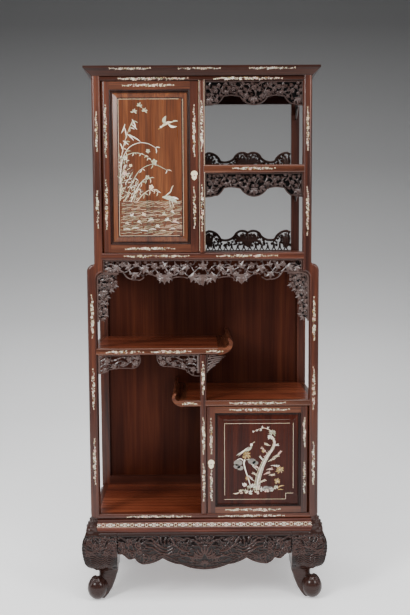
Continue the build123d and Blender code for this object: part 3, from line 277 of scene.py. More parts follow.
wood_upright = rosewood("rosewood_upright", "Z", *POST_TONES)
wood_rail = rosewood("rosewood_rail", "RAIL", *POST_TONES)
wood_lengthwise = rosewood("rosewood_lengthwise", "X", *LIT_RAIL_TONES)
wood_back = rosewood(
    "rosewood_back", "Z", *BACK_TONES, roughness=0.42, coat=0.0, figure=20.0, streak=0.3, shine=0.10
)
wood_shelf_lit = rosewood(
    "rosewood_shelf_lit", "X", *LIT_FLOOR_TONES, roughness=0.28, coat=0.35, figure=20.0, streak=0.4
)
wood_upper_panel = rosewood("rosewood_upper_panel", "Z", *PANEL_TONES, roughness=0.32, coat=0.3)
wood_lower_panel = rosewood(
    "rosewood_lower_panel", "Z", *LOWER_PANEL_TONES, roughness=0.3, coat=0.1, shine=0.15
)
wood_moulding = rosewood("rosewood_moulding", "Z", *MOULDING_TONES, roughness=0.3, coat=0.15, shine=0.2)
wood_carved = rosewood(
    "rosewood_carved", "X", *CARVED_TONES, roughness=0.25, coat=0.22, shade_and_highlight=CARVED_SHADE_AND_HIGHLIGHT, shine=0.22
)
wood_pierced = rosewood(
    "rosewood_pierced", "X", *CARVED_TONES, roughness=0.30, coat=0.4, shade_and_highlight=PIERCED_SHADE_AND_HIGHLIGHT
)
wood_display = rosewood(
    "rosewood_display", "X", *CARVED_TONES, roughness=0.32, coat=0.2, shade_and_highlight=DISPLAY_SHADE_AND_HIGHLIGHT, shine=0.2
)
wood_shelf_rail_lit = rosewood("rosewood_shelf_rail_lit", "RAIL", *LIT_RAIL_TONES, roughness=0.26, coat=0.4)
wood_gallery = rosewood(
    "rosewood_gallery", "X", (44, 26, 20), (66, 42, 34), (88, 58, 48), roughness=0.32, coat=0.3
)
wood_stand_frame = rosewood("rosewood_stand_frame", "RAIL", *STAND_FRAME_TONES, coat=0.2, shine=0.2)
wood_crown_shaded = rosewood("rosewood_crown_shaded", "RAIL", *SHADED_CROWN_TONES, coat=0.15, shine=0.2)
shell = pearl("mother_of_pearl")
shell_plate = pearl("mother_of_pearl_plate", (240, 224, 196))
brass = aged_brass()

CARVED_NAMES = (
    "leg_", "stand_apron", "canopy", "mid_shelf_aprons", "side_aprons", "display_aprons", "galleries"
)
NODE_MATERIALS = [
    (wood_carved, CARVED_NAMES),
    (wood_upper_panel, ("upper_door_panel",)),
    (wood_lower_panel, ("lower_door_panel",)),
    (brass, ("lock_case", "lock_bolt", "pivot_pins")),
    (shell_plate, ("escutcheon",)),
    (wood_back, ("back_panel", "partition", "side_panel")),
    (wood_shelf_lit, ("board", "inner_shelf")),
    (wood_upright, ("post", "stiles")),
    (wood_lengthwise, ("door_rails",)),
    (wood_crown_shaded, ("cornice", "top_rails")),
    (wood_shelf_rail_lit, ("shelf_rails",)),
    (wood_stand_frame, ("stand_top_frame",)),
    (wood_rail, ("rails", "frame")),
]


def finish_node(name):
    """The material of a CAD node, by the first group of names that it belongs to."""
    return next(material for material, words in NODE_MATERIALS if any(word in name for word in words))


for name, node in nodes.items():
    node.data.materials.clear()
    node.data.materials.append(finish_node(name))

# ------------------------------------------------------------------ camera, floor and light

PICTURE_HEIGHT = 615
FOCAL_PIXELS = 841.93
SENSOR = 36.0
camera_place = Vector((-0.01900, -3.1839, 1.3113))
pitch_down, yaw, roll = 0.081, 0.0085, 0.0058


def aim(down, turn, tilt):
    """Rotation of a camera that looks along +Y, then turned, pitched down and tilted, in radians."""
    ahead = Vector((sin(turn) * cos(down), cos(turn) * cos(down), -sin(down)))
    right = Vector((cos(turn), -sin(turn), 0))
    above = right.cross(ahead)
    level_right = cos(tilt) * right - sin(tilt) * above
    level_above = sin(tilt) * right + cos(tilt) * above
    return Matrix((level_right, level_above, -ahead)).transposed().to_4x4()


camera_data = bpy.data.cameras.new("camera")
camera_data.sensor_width = SENSOR
camera_data.sensor_fit = "AUTO"
camera_data.lens = FOCAL_PIXELS / PICTURE_HEIGHT * SENSOR
camera = bpy.data.objects.new("camera", camera_data)
scene.collection.objects.link(camera)
camera.matrix_world = Matrix.Translation(camera_place) @ aim(pitch_down, yaw, roll)
scene.camera = camera


def studio_sheet():
    """One seamless sheet: a pale floor that curves up into a wall, with painted shade that darkens the wall
    with height and a painted glow on the floor.
    """
    front, wall, radius, top, half_width, painted_light_height = -3.0, 5.2, 3.0, 4.6, 6.0, 3.6
    line = [(front, 0.0), (wall - radius, 0.0)]
    steps = 16
    for i in range(1, steps + 1):
        angle = pi / 2 * i / steps
        line.append((wall - radius + radius * sin(angle), radius - radius * cos(angle)))
    line.append((wall, top))
    verts = [(side * half_width, y, z) for y, z in line for side in (-1, 1)]
    faces = [(2 * i, 2 * i + 1, 2 * i + 3, 2 * i + 2) for i in range(len(line) - 1)]
    mesh = bpy.data.meshes.new("studio")
    mesh.from_pydata(verts, [], faces)
    mesh.shade_smooth()
    sheet = bpy.data.objects.new("studio", mesh)
    scene.collection.objects.link(sheet)
    shader = Shader("studio_paper", 0.9, Specular_IOR_Level=0.1)
    height = shader.math("DIVIDE", shader.axes()["Z"], painted_light_height)
    # Painted shade darkens the wall with height, and a painted glow brightens the floor and the foot of the
    # wall
    for socket, stops in (
        ("Base Color", ((0.0, 0.95), (0.046, 0.90), (0.274, 0.59), (0.567, 0.32), (0.944, 0.14))),
        ("Emission Color", ((0.0, 0.38), (0.013, 0.29), (0.177, 0.06), (0.325, 0.0))),
    ):
        ramp = shader.ramp(height, *((share, grey(value)) for share, value in stops))
        shader.link(ramp, shader.surface.inputs[socket])
    shader.surface.inputs["Emission Strength"].default_value = 1.0
    mesh.materials.append(shader.material)


def soft_light(name, place, target, size, power):
    """A rectangular lamp of a size in metres and a power in watts, aimed at a target."""
    data = bpy.data.lights.new(name, "AREA")
    data.shape = "RECTANGLE"
    data.size, data.size_y = size
    data.energy = power
    light = bpy.data.objects.new(name, data)
    light.location = place
    light.rotation_euler = (Vector(target) - Vector(place)).to_track_quat("-Z", "Y").to_euler()
    scene.collection.objects.link(light)
    return light


studio_sheet()
soft_light("key", (-2.2, -2.5, 2.9), (0, 0, 0.9), (0.9, 1.8), 125)
soft_light("fill", (2.3, -2.4, 2.6), (0, 0, 0.8), (0.9, 1.8), 58)
soft_light("top", (0.0, -1.1, 3.6), (0, 0.1, 0.6), (2.6, 1.2), 52)
soft_light("edge_left", (-2.7, -0.4, 1.4), (0, -0.1, 1.0), (0.18, 2.4), 13)
soft_light("edge_right", (2.7, -0.4, 1.4), (0, -0.1, 1.0), (0.18, 2.4), 7)
soft_light("sweep", (0.0, 1.0, 3.4), (0, 1.3, 0), (3.4, 1.6), 60)
front_glow = soft_light("front", (0.0, -3.6, 1.5), (0, 0, 0.9), (3.2, 2.4), 48)
front_glow.visible_glossy = False
world = bpy.data.worlds.new("studio_air")
world.use_nodes = True
world.node_tree.nodes["Background"].inputs["Color"].default_value = (0.9, 0.93, 1.0, 1.0)
world.node_tree.nodes["Background"].inputs["Strength"].default_value = 0.12
scene.world = world


# ------------------------------------------------------------------ shapes that the carving is made of


def arc_through(first, middle, last, steps=10):
    """Points along the circular arc through three points of a plane, without the last one."""
    (ax, ay), (bx, by), (cx, cy) = first, middle, last
    twist = 2 * ((bx - ax) * (cy - ay) - (by - ay) * (cx - ax))
    if abs(twist) < 1e-6:
        return [(ax + (cx - ax) * i / steps, ay + (cy - ay) * i / steps) for i in range(steps)]
    b2, c2 = (bx - ax) ** 2 + (by - ay) ** 2, (cx - ax) ** 2 + (cy - ay) ** 2
    ux = ax + (b2 * (cy - ay) - c2 * (by - ay)) / twist
    uy = ay + (c2 * (bx - ax) - b2 * (cx - ax)) / twist
    radius = hypot(ax - ux, ay - uy)
    begin = atan2(ay - uy, ax - ux)
    turn = (atan2(cy - uy, cx - ux) - begin) % tau
    via = (atan2(by - uy, bx - ux) - begin) % tau
    if via > turn:
        turn -= tau
    angles = [begin + turn * i / steps for i in range(steps)]
    return [(ux + radius * cos(a), uy + radius * sin(a)) for a in angles]


def traced(stretches):
    """The points of an outline whose stretches are lines (two points) or arcs (three points)."""
    points = []
    for stretch in stretches:
        points += arc_through(*stretch) if len(stretch) == 3 else [stretch[0]]
    return points + [stretches[-1][-1]]


def flowing(points, steps=6):
    """A smooth line through the points (Catmull-Rom)."""
    points = [Vector(p) for p in points]
    ends = [2 * points[0] - points[1]] + points + [2 * points[-1] - points[-2]]
    line = []
    for a, b, c, d in zip(ends, ends[1:], ends[2:], ends[3:]):
        for i in range(steps):
            t = i / steps
            bow = 2 * b + (c - a) * t + (2 * a - 5 * b + 4 * c - d) * t**2
            line.append(0.5 * (bow + (3 * b - a - 3 * c + d) * t**3))
    return line + [points[-1]]


# Lobes of a vine leaf, as (angle from its tip, reach), back to the first one, and the notches after them
LEAF_LOBES = ((-1.95, 0.66), (-0.95, 0.86), (0, 1.0), (0.95, 0.86), (1.95, 0.66), (tau - 1.95, 0.66))
LEAF_NOTCHES = (0.50, 0.50, 0.50, 0.50, 0.28)
# Depth behind the face at which a carving gets the full painted shade of a hollow
FULL_PAINTED_SHADE_DEPTH = 9.0


def walls(sides, rings, base=0):
    """Faces between rings of vertices that follow each other from the number base on."""
    faces = []
    for ring in range(base, base + (rings - 1) * sides, sides):
        for k in range(sides):
            a, b = ring + k, ring + (k + 1) % sides
            faces.append((a, b, b + sides, a + sides))
    return faces


def capped(sides, rings=2):
    """Faces of a closed shape made of rings of vertices: its two ends and its walls."""
    last = (rings - 1) * sides
    return [tuple(range(sides)), tuple(reversed(range(last, last + sides)))] + walls(sides, rings)


def tube_faces(sides, rings):
    """Faces of a tube, whose rings of vertices turn the other way."""
    faces = capped(sides, rings)
    return faces[:2] + [(b, a, d, c) for a, b, c, d in faces[2:]]


def outward_mesh(name, verts, faces):
    """A mesh of closed shapes, whose faces all look outwards."""
    mesh = bpy.data.meshes.new(name)
    mesh.from_pydata(verts, [], faces)
    edit = bmesh.new()
    edit.from_mesh(mesh)
    bmesh.ops.recalc_face_normals(edit, faces=edit.faces)
    edit.to_mesh(mesh)
    edit.free()
    return mesh


def point_values(mesh, name, values):
    """Give each vertex a value from 0 to 1 that the materials read by name."""
    made = mesh.attributes.new(name, "FLOAT", "POINT")
    made.data.foreach_set("value", np.clip(values, 0.0, 1.0).astype(np.float32))


def ahead_at(line, i):
    """The direction of a line at one of its points, from the point before to the point after."""
    return line[min(i + 1, len(line) - 1)] - line[max(i - 1, 0)]


def across_at(line, i):
    """Unit vector square to a line in the plane, at one of its points."""
    ahead = ahead_at(line, i)
    return Vector((-ahead[1], ahead[0])).normalized()


def straight(first, last, steps):
    """Points along a straight line."""
    (ax, ay), (bx, by) = first, last
    return [(ax + (bx - ax) * i / steps, ay + (by - ay) * i / steps) for i in range(steps + 1)]


def oval(x, z, half_x, half_z, steps, extra=0):
    """Points round an oval; one extra point closes it."""
    turns = [tau * k / steps for k in range(steps + extra)]
    return [(x + half_x * cos(turn), z + half_z * sin(turn)) for turn in turns]


class Carving:
    """Closed shapes gathered into one piece. Each is drawn in millimetres as (across, depth, up)."""

    def __init__(self, place):
        self.place = place
        self.verts = []
        self.faces = []

    def add(self, verts, faces):
        base = len(self.verts)
        self.verts += [Vector(v) for v in verts]
        self.faces += [tuple(base + i for i in face) for face in faces]

    def rod(self, line, radii, depth_stretch=1.0, sides=8):
        """Rod along a line; radii is one radius or one for each point."""
        line = [Vector(p) for p in line]
        if isinstance(radii, (int, float)):
            radii = [radii] * len(line)
        verts = []
        for i, (point, radius) in enumerate(zip(line, radii)):
            ahead = ahead_at(line, i).normalized()
            side = ahead.cross(Vector((0, 1, 0)))
            side = side.normalized() if side.length > 1e-6 else Vector((1, 0, 0))
            normal = side.cross(ahead)
            for k in range(sides):
                angle = tau * (k + 0.5) / sides
                offset = side * cos(angle) + normal * sin(angle) * depth_stretch
                verts.append(point + offset * radius)
        self.add(verts, tube_faces(sides, len(line)))

    def crowned(self, outline, rise, middle, depth, thickness, inner=0.5):
        """Leaf or petal: an outline of (across, up, fall), raised in rings towards its middle point."""
        count = len(outline)
        mx, mz = middle
        verts = [(x, depth + fall + thickness, z) for x, z, fall in outline]
        verts += [(x, depth + fall, z) for x, z, fall in outline]
        verts += [
            (mx + (x - mx) * inner, depth + fall * 0.45 - rise * 0.55, mz + (z - mz) * inner)
            for x, z, fall in outline
        ]
        verts += [(mx, depth - rise, mz)]
        faces = [tuple(reversed(range(count)))] + walls(count, 3)
        faces += [(2 * count + k, 2 * count + (k + 1) % count, 3 * count) for k in range(count)]
        self.add(verts, faces)

    def lobed_leaf(self, x, z, size, turn, depth, thickness=3.0):
        """Vine leaf with five pointed lobes and folded veins, whose tip points along turn."""
        outline = []
        for (angle, reach), (following, _), notch in zip(LEAF_LOBES, LEAF_LOBES[1:], LEAF_NOTCHES):
            for share, radius, fall in ((-0.16, 0.78, 1.4), (0.0, 1.0, 0.4), (0.16, 0.78, 1.4)):
                outline.append((angle + share, reach * radius, fall))
            outline.append(((angle + following) / 2, notch, 2.2))
        points = [
            (x + size * reach * sin(turn + angle), z + size * reach * cos(turn + angle), fall)
            for angle, reach, fall in reversed(outline)
        ]
        self.crowned(points, 1.4, (x, z), depth, thickness)

    def blossom(self, x, z, size, turn, depth, petals=5, thickness=3.0):
        """Open flower with round petals and a domed eye."""
        steps = petals * 6
        points = []
        for k in range(steps):
            angle = tau * k / steps
            wave = abs(cos(angle * petals / 2))
            radius = size * (0.66 + 0.34 * wave**0.7)
            fall = 1.8 - 1.2 * wave
            points.append((x - radius * sin(angle + turn), z + radius * cos(angle + turn), fall))
        self.crowned(points, 0.4, (x, z), depth, thickness, 0.45)
        self.bead(x, z, size * 0.26, depth - 0.6)

    def bead(self, x, z, radius, depth):
        """Small round bead."""
        self.add(*ball_shape((x, depth, z), (radius, radius, radius), 8, 5))

    def blade(self, start, bend, tip, width, depth, thickness=2.4):
        """Narrow leaf along a bent midrib."""
        line = flowing([start, bend, tip], 4)
        sides = []
        for side in (1, -1):
            for i, point in enumerate(line):
                half = width / 2 * sin(pi * (0.06 + 0.90 * i / (len(line) - 1))) ** 0.8
                sides.append(point + across_at(line, i) * half * side)
        count = len(line)
        left, right = sides[:count], sides[count:]
        verts = []
        for points, level in ((left, 1.2), (line, 0.0), (right, 1.2)):
            verts += [(p[0], depth + level, p[1]) for p in points]
        for points in (left, line, right):
            verts += [(p[0], depth + thickness, p[1]) for p in points]
        faces = []
        for i in range(count - 1):
            for row in (0, 1):
                a = row * count + i
                faces.append((a, a + 1, a + count + 1, a + count))
                b = (row + 3) * count + i
                faces.append((b + 1, b, b + count, b + count + 1))
            for low, up in ((0, 3), (2, 5)):
                a, b = low * count + i, up * count + i
                faces.append((a + 1, a, b, b + 1) if low == 0 else (a, a + 1, b + 1, b))
        for i in (0, count - 1):
            ring = [i, count + i, 2 * count + i, 5 * count + i, 4 * count + i, 3 * count + i]
            faces.append(tuple(ring) if i == 0 else tuple(reversed(ring)))
        self.add(verts, faces)

    def finish(self, name, material, replaced, body="root", slot="rosewood_carved"):
        mesh = outward_mesh(name, [self.place(*v) * MM for v in self.verts], self.faces)
        # The "relief" value paints light by depth: the front of a carving lit, its deeper parts and the
        # boards behind in shade
        point_values(mesh, "relief", 1.0 - np.array([v[1] for v in self.verts]) / FULL_PAINTED_SHADE_DEPTH)
        mesh.shade_smooth()
        mesh.set_sharp_from_angle(angle=radians(38))
        dress(name, mesh, material, replaced, body)


def dress(name, mesh, material, replaced=(), body="root"):
    """Put a new piece in the scene with its material and body, in place of the nodes replaced."""
    piece = bpy.data.objects.new(name, mesh)
    scene.collection.objects.link(piece)
    mesh.materials.clear()
    mesh.materials.append(material)
    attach(piece, body)
    if replaced:
        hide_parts(*replaced)


def ball_shape(centre, radii, around=16, rings=10):
    """Vertices and faces of an ellipsoid."""
    verts = [(centre[0], centre[1], centre[2] - radii[2])]
    for ring in range(1, rings):
        polar = pi * ring / rings
        for k in range(around):
            angle = tau * k / around
            verts.append((
                centre[0] + radii[0] * sin(polar) * cos(angle),
                centre[1] + radii[1] * sin(polar) * sin(angle),
                centre[2] - radii[2] * cos(polar),
            ))
    verts.append((centre[0], centre[1], centre[2] + radii[2]))
    faces = [(0, 1 + (k + 1) % around, 1 + k) for k in range(around)]
    faces += walls(around, rings - 1, 1)
    last = 1 + (rings - 2) * around
    faces += [(last + k, last + (k + 1) % around, len(verts) - 1) for k in range(around)]
    return verts, faces


def inside(polygon, x, z):
    """Whether a point lies in a polygon."""
    odd = False
    for (ax, az), (bx, bz) in zip(polygon, polygon[1:] + polygon[:1]):
        if (az > z) != (bz > z) and x < ax + (z - az) * (bx - ax) / (bz - az):
            odd = not odd
    return odd


def edge_distance(polygon, x, z):
    """Distance from a point to the nearest side of a polygon."""
    nearest = inf
    for (ax, az), (bx, bz) in zip(polygon, polygon[1:] + polygon[:1]):
        dx, dz = bx - ax, bz - az
        length = dx * dx + dz * dz
        share = max(0.0, min(1.0, ((x - ax) * dx + (z - az) * dz) / length)) if length else 0.0
        nearest = min(nearest, hypot(x - ax - dx * share, z - az - dz * share))
    return nearest


def scattered(polygon, spacing, margin, draw, taken=(), tries=2600):
    """Random places in a polygon, at least spacing apart and margin from its sides."""
    xs, zs = [p[0] for p in polygon], [p[1] for p in polygon]
    places = list(taken)
    for _ in range(tries):
        x, z = draw.uniform(min(xs), max(xs)), draw.uniform(min(zs), max(zs))
        if all(hypot(x - a, z - b) > spacing for a, b in places) and inside(polygon, x, z):
            if edge_distance(polygon, x, z) > margin:
                places.append((x, z))
    return places[len(taken):]


# ------------------------------------------------------------------ pierced carving

# Thickness of a carved panel, and how far its rim and its stems lie behind its face
CARVED_DEPTH = 13
RIM_RADIUS = 2.2
RIM_DEPTH = 5.5
STEM_DEPTH = 6.0
# A point this far below a crest has every part of its edge on the same side
FAR = 9000


def inset_line(points, amount, towards):
    """A line moved sideways by amount, to the side on which the point towards lies."""
    moved = []
    for i, (x, z) in enumerate(points):
        ax, az = points[max(i - 1, 0)]
        bx, bz = points[min(i + 1, len(points) - 1)]
        length = hypot(bx - ax, bz - az) or 1.0
        nx, nz = -(bz - az) / length, (bx - ax) / length
        if nx * (towards[0] - x) + nz * (towards[1] - z) < 0:
            nx, nz = -nx, -nz
        moved.append((x + nx * amount, z + nz * amount))
    return moved


def edge_leaves(carving, edge, middle, size, draw):
    """Leaves whose tips point out of a panel and draw its shaped edge; gives back their places."""
    places, run = [], 0.0
    inner = inset_line(edge, size * 0.52, middle)
    for i in range(1, len(edge) - 1):
        run += hypot(edge[i][0] - edge[i - 1][0], edge[i][1] - edge[i - 1][1])
        if run > size * 1.15:
            run = 0.0
            x, z = inner[i]
            heading = atan2(edge[i][0] - x, edge[i][1] - z) + draw.uniform(-0.3, 0.3)
            carving.lobed_leaf(x, z, size * draw.uniform(0.72, 0.86), heading, draw.uniform(1.6, 3.4), 4.5)
            places.append((x, z))
    return places


def pierced(carving, edge, frame_line, seed, leaf, spacing, stems, blossoms, big_leaves, rim, heft):
    """A pierced panel of vine, leaves and flowers between a shaped edge and the line that it hangs from.

    Rim is the radius of the rod that draws the edge. With None leaves draw it, and with 0.0 the caller does.
    Heft thickens the stems."""
    draw = random.Random(seed)
    polygon = list(edge) + list(reversed(frame_line))
    middle = (sum(p[0] for p in polygon) / len(polygon), sum(p[1] for p in frame_line) / len(frame_line))
    taken = [(x, z) for x, z, *_ in blossoms] + [(x, z) for x, z, *_ in big_leaves]
    if rim:
        line = []
        for i, (x, z) in enumerate(edge):
            inward = inset_line(edge, rim, middle)[i] if 0 < i < len(edge) - 1 else (x, z)
            line.append((inward[0], RIM_DEPTH, inward[1]))
        carving.rod(line, rim, 1.9)
    elif rim is None:
        taken += edge_leaves(carving, edge, middle, leaf * 1.6, draw)
    bar = [(x, CARVED_DEPTH / 2, z) for x, z in inset_line(frame_line, 2.4, edge[len(edge) // 2])]
    carving.rod(bar, 2.6, 2.2, 4)
    knots = []
    for stem in stems:
        line = flowing(stem, 5)
        radii = [(1.9 - 0.7 * i / len(line)) * heft for i in range(len(line))]
        path = [(p[0], STEM_DEPTH + 1.6 * sin(0.9 * i), p[1]) for i, p in enumerate(line)]
        carving.rod(path, radii, 1.5 / heft, 6)
        knots += [(p[0], p[1]) for p in line]
    for x, z, size in blossoms:
        carving.blossom(x, z, size, draw.uniform(0, 1.2), draw.uniform(1.6, 2.6))
    for x, z, size, turn in big_leaves:
        carving.lobed_leaf(x, z, size, turn, 1.8, 4.0)
    kinds = ("leaf", "leaf", "leaf", "flower", "blade", "berries")
    for x, z in scattered(polygon, spacing, leaf * 0.55, draw, taken):
        kind = kinds[draw.randrange(len(kinds))]
        turn = draw.uniform(0, tau)
        depth = draw.uniform(1.5, 4.5)
        size = leaf * draw.uniform(0.78, 1.08)
        if kind == "leaf":
            carving.lobed_leaf(x, z, size, turn, depth)
        elif kind == "flower":
            carving.blossom(x, z, size * 0.68, turn, depth)
        elif kind == "blade":
            reach = size * 0.9
            dx, dz = reach * sin(turn), reach * cos(turn)
            bend = (x + dz * 0.25, z - dx * 0.25)
            carving.blade((x - dx, z - dz), bend, (x + dx, z + dz), size * 0.5, depth)
        else:
            for k in range(6):
                angle = turn + tau * k / 5
                reach = size * 0.34 if k < 5 else 0.0
                carving.bead(x + reach * cos(angle), z + reach * sin(angle), size * 0.24, depth + 1.2)
        if knots:
            near = min(knots, key=lambda p: hypot(p[0] - x, p[1] - z))
            bow = ((x + near[0]) / 2 + (z - near[1]) * 0.2, (z + near[1]) / 2 - (x - near[0]) * 0.2)
            path = [(x, depth + 2.4, z), (bow[0], STEM_DEPTH, bow[1]), (near[0], STEM_DEPTH, near[1])]
            carving.rod(path, 1.15 * heft, 1.4 / heft, 5)


def ground(carving, outline):
    """A thin board behind a carving that isn't cut right through; it lies deep enough to get the full painted
    shade.
    """
    verts = [(x, depth, z) for depth in (CARVED_DEPTH - 3.0, CARVED_DEPTH - 0.5) for x, z in outline]
    carving.add(verts, capped(len(outline)))


def strip(carving, points, half_width=2.2):
    """A narrow flat-backed frame strip along a line."""
    carving.rod(
        [(x, CARVED_DEPTH * 0.4, z) for x, z in points], half_width, CARVED_DEPTH * 0.36 / half_width, 8
    )


def vine(left, right, low, high, waves, phase):
    """A stem that winds along a panel between two heights given as functions of the distance across."""
    count = max(4, int(waves * 4))
    line = []
    for i in range(count + 1):
        x = left + (right - left) * i / count
        middle, swing = (low(x) + high(x)) / 2, (high(x) - low(x)) / 2 * 0.62
        line.append((x, middle + swing * sin(tau * waves * i / count + phase)))
    return line


def level_of(points):
    """Height of a line of points as a function of the distance across."""
    xs, zs = [p[0] for p in points], [p[1] for p in points]
    return lambda x: float(np.interp(x, xs, zs))


def mirrored_edge(half):
    """The whole of an edge that is drawn from its middle outwards."""
    line = traced(half)
    return [(-x, z) for x, z in reversed(line)] + line[1:]


def hung(half, real, top, across=0.0):
    """A mirrored edge, stretched from its drawn half length to the real one and hung from a height."""
    drawn = half[-1][-1][0]
    return [(across + x * real / drawn, top - depth) for x, depth in mirrored_edge(half)]


def placed(rows, top, across=0, sign=1):
    """Rows of (distance across, depth below the top, size, any turn) at their places; -1 mirrors them."""
    return [
        (across + sign * x, top - depth, size, *(sign * turn for turn in turns))
        for x, depth, size, *turns in rows
    ]


def front_of(front):
    """Place of a carving that faces the front, its face at the depth front (mm)."""
    return lambda across, depth, up: Vector((across, front + depth, up))


def side_of(sign, face):
    """Place of a carving that faces a side, its face at face (mm) from the middle."""
    return lambda across, depth, up: Vector((sign * (face - depth), across, up))


def mm_box(node):
    """Lowest and highest corner of a node, in millimetres."""
    low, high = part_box(node)
    return [v / MM for v in low], [v / MM for v in high]


canopy_low, canopy_high = mm_box("canopy_apron")
carving_front, rail_under = canopy_low[1], canopy_high[2]
canopy_half = canopy_high[0]

# The canopy: a long apron with a bat-winged middle leaf and two side leaves, and a spandrel at each post
DRAWN_CANOPY_HALF = 351.5
SHOULDER_DROP = rail_under - mm_box("canopy_spandrels")[1][2]
canopy_edge = [
    [(0, 95), (27, 86), (55, 68)],
    [(55, 68), (83, 63), (111, 68)],
    [(111, 68), (134, 91), (158, 68)],
    [(158, 68), (180, 55), (203, 53)],
    [(203, 53), (242, 73), (281, SHOULDER_DROP)],
    [(281, SHOULDER_DROP), (DRAWN_CANOPY_HALF, SHOULDER_DROP)],
]


def canopy():
    """Broad vine leaves with dark gaps between them, on stems that also draw the lower edge."""
    carving = Carving(front_of(carving_front))
    edge = hung(canopy_edge, canopy_half, rail_under)
    frame_line = [(-canopy_half, rail_under), (canopy_half, rail_under)]
    low, high = level_of(edge), (lambda x: rail_under - 6)
    stems = [vine(-canopy_half + 6, canopy_half - 6, low, high, 7.5, phase) for phase in (0.4, 0.4 + pi)]
    middle = ((0, 62, 33, pi), (-37, 58, 29, pi * 0.78), (37, 58, 29, -pi * 0.78), (0, 27, 25, 0))
    sides = (
        (137, 60, 29, pi), (160, 52, 19, -2.4), (114, 50, 19, 2.4), (58, 24, 22, 2.2), (97, 30, 24, 2.9),
        (136, 24, 22, 0.4), (205, 28, 24, 2.8), (240, 50, 21, pi), (262, 24, 21, 1.2), (304, 26, 24, 2.4),
        (334, 30, 20, 2.8), (236, 20, 18, 0.3),
    )
    tips = (
        (-19, 70, 20, pi * 0.92), (19, 70, 20, -pi * 0.92), (-126, 66, 19, pi * 0.88),
        (148, 66, 19, -pi * 0.88), (126, 66, 19, pi * 0.88), (-148, 66, 19, -pi * 0.88),
    )
    flowers = ((76, 46, 10), (172, 22, 13), (284, 16, 11), (186, 46, 9))
    big, blossoms = placed(middle, rail_under), placed([(0, 30, 8)], rail_under)
    for side in (-1, 1):
        big += placed(sides, rail_under, 0, side)
        blossoms += placed(flowers, rail_under, 0, side)
    big += placed(tips, rail_under)
    pierced(carving, edge, frame_line, 11, 9.5, 17.0, stems, blossoms, big, 0.0, 1.5)
    for side in (-1, 1):
        for begin, end in ((50, 112), (156, 204), (202, 282), (280, DRAWN_CANOPY_HALF)):
            reach = [
                p for p in inset_line(edge, 2.2, (0, rail_under))
                if begin <= side * p[0] * DRAWN_CANOPY_HALF / canopy_half <= end
            ]
            carving.rod([(x, RIM_DEPTH + 1.5 * sin(0.15 * x), z) for x, z in reach], 2.3, 1.6)
        end = side * (canopy_half - 3)
        strip(carving, [(end, rail_under), (end, rail_under - SHOULDER_DROP)])
    carving.finish("canopy_carving", wood_pierced, ["canopy_apron"])


canopy()


def spandrels():
    """Dense brackets of vine in a thin frame that follows the post and rounds the shoulder."""
    carving = Carving(front_of(carving_front))
    _, high = mm_box("canopy_spandrels")
    post, top, corner, border = high[0], high[2], 22, 3.4
    drawn = [
        [(6, 175), (26, 171), (40, 152)], [(40, 152), (46, 88)], [(46, 88), (62, 62), (74, 48)],
        [(74, 48), (79, 1)]
    ]
    round_corner = arc_through((0, corner), (corner * 0.293, corner * 0.293), (corner, 0), 6)
    outer = [(0, 175)] + round_corner + [(corner, 0), (78, 0)]
    for sign in (-1, 1):

        def put(points):
            return [(sign * (post - d), top - depth) for d, depth in points]

        edge = put(traced(drawn))
        strip(carving, inset_line(put(outer), border + 0.6, (sign * (post - 30), top - 60)), border)
        ground(carving, put([
            (1, 166), (1, 26), (9, 9), (26, 2), (66, 2), (62, 40), (42, 62), (36, 90), (34, 140), (22, 162)
        ]))
        bar = put([(4, 152), (40, 152)])
        carving.rod([(x, 4.0, z) for x, z in bar], 1.6, 1.4, 6)
        stem = put(
            [(6, 168), (16, 142), (8, 120), (26, 98), (11, 76), (34, 54), (18, 34), (50, 18), (72, 8)]
        )
        twin = put([(14, 150), (6, 128), (30, 108), (12, 88), (40, 70), (22, 48), (60, 34), (40, 10)])
        leaves = [(x, z, size, sign * turn) for (x, z), size, turn in zip(
            put([(30, 66), (30, 128), (14, 44), (12, 100), (56, 22), (62, 40), (34, 92), (14, 146)]),
            (17, 15, 13, 13, 14, 11, 12, 10), (2.6, 2.9, 1.2, 3.0, 2.3, 2.0, 2.7, pi))]
        flowers = [
            (x, z, size)
            for (x, z), size in zip(put([(44, 42), (16, 70), (36, 110), (36, 14)]), (8, 8, 7, 8))
        ]
        pierced(carving, edge, put(outer), 23 + sign, 11.5, 9.5, [stem, twin], flowers, leaves, None, 1.45)
    carving.finish("spandrel_carving", wood_pierced, ["canopy_spandrels"])


spandrels()


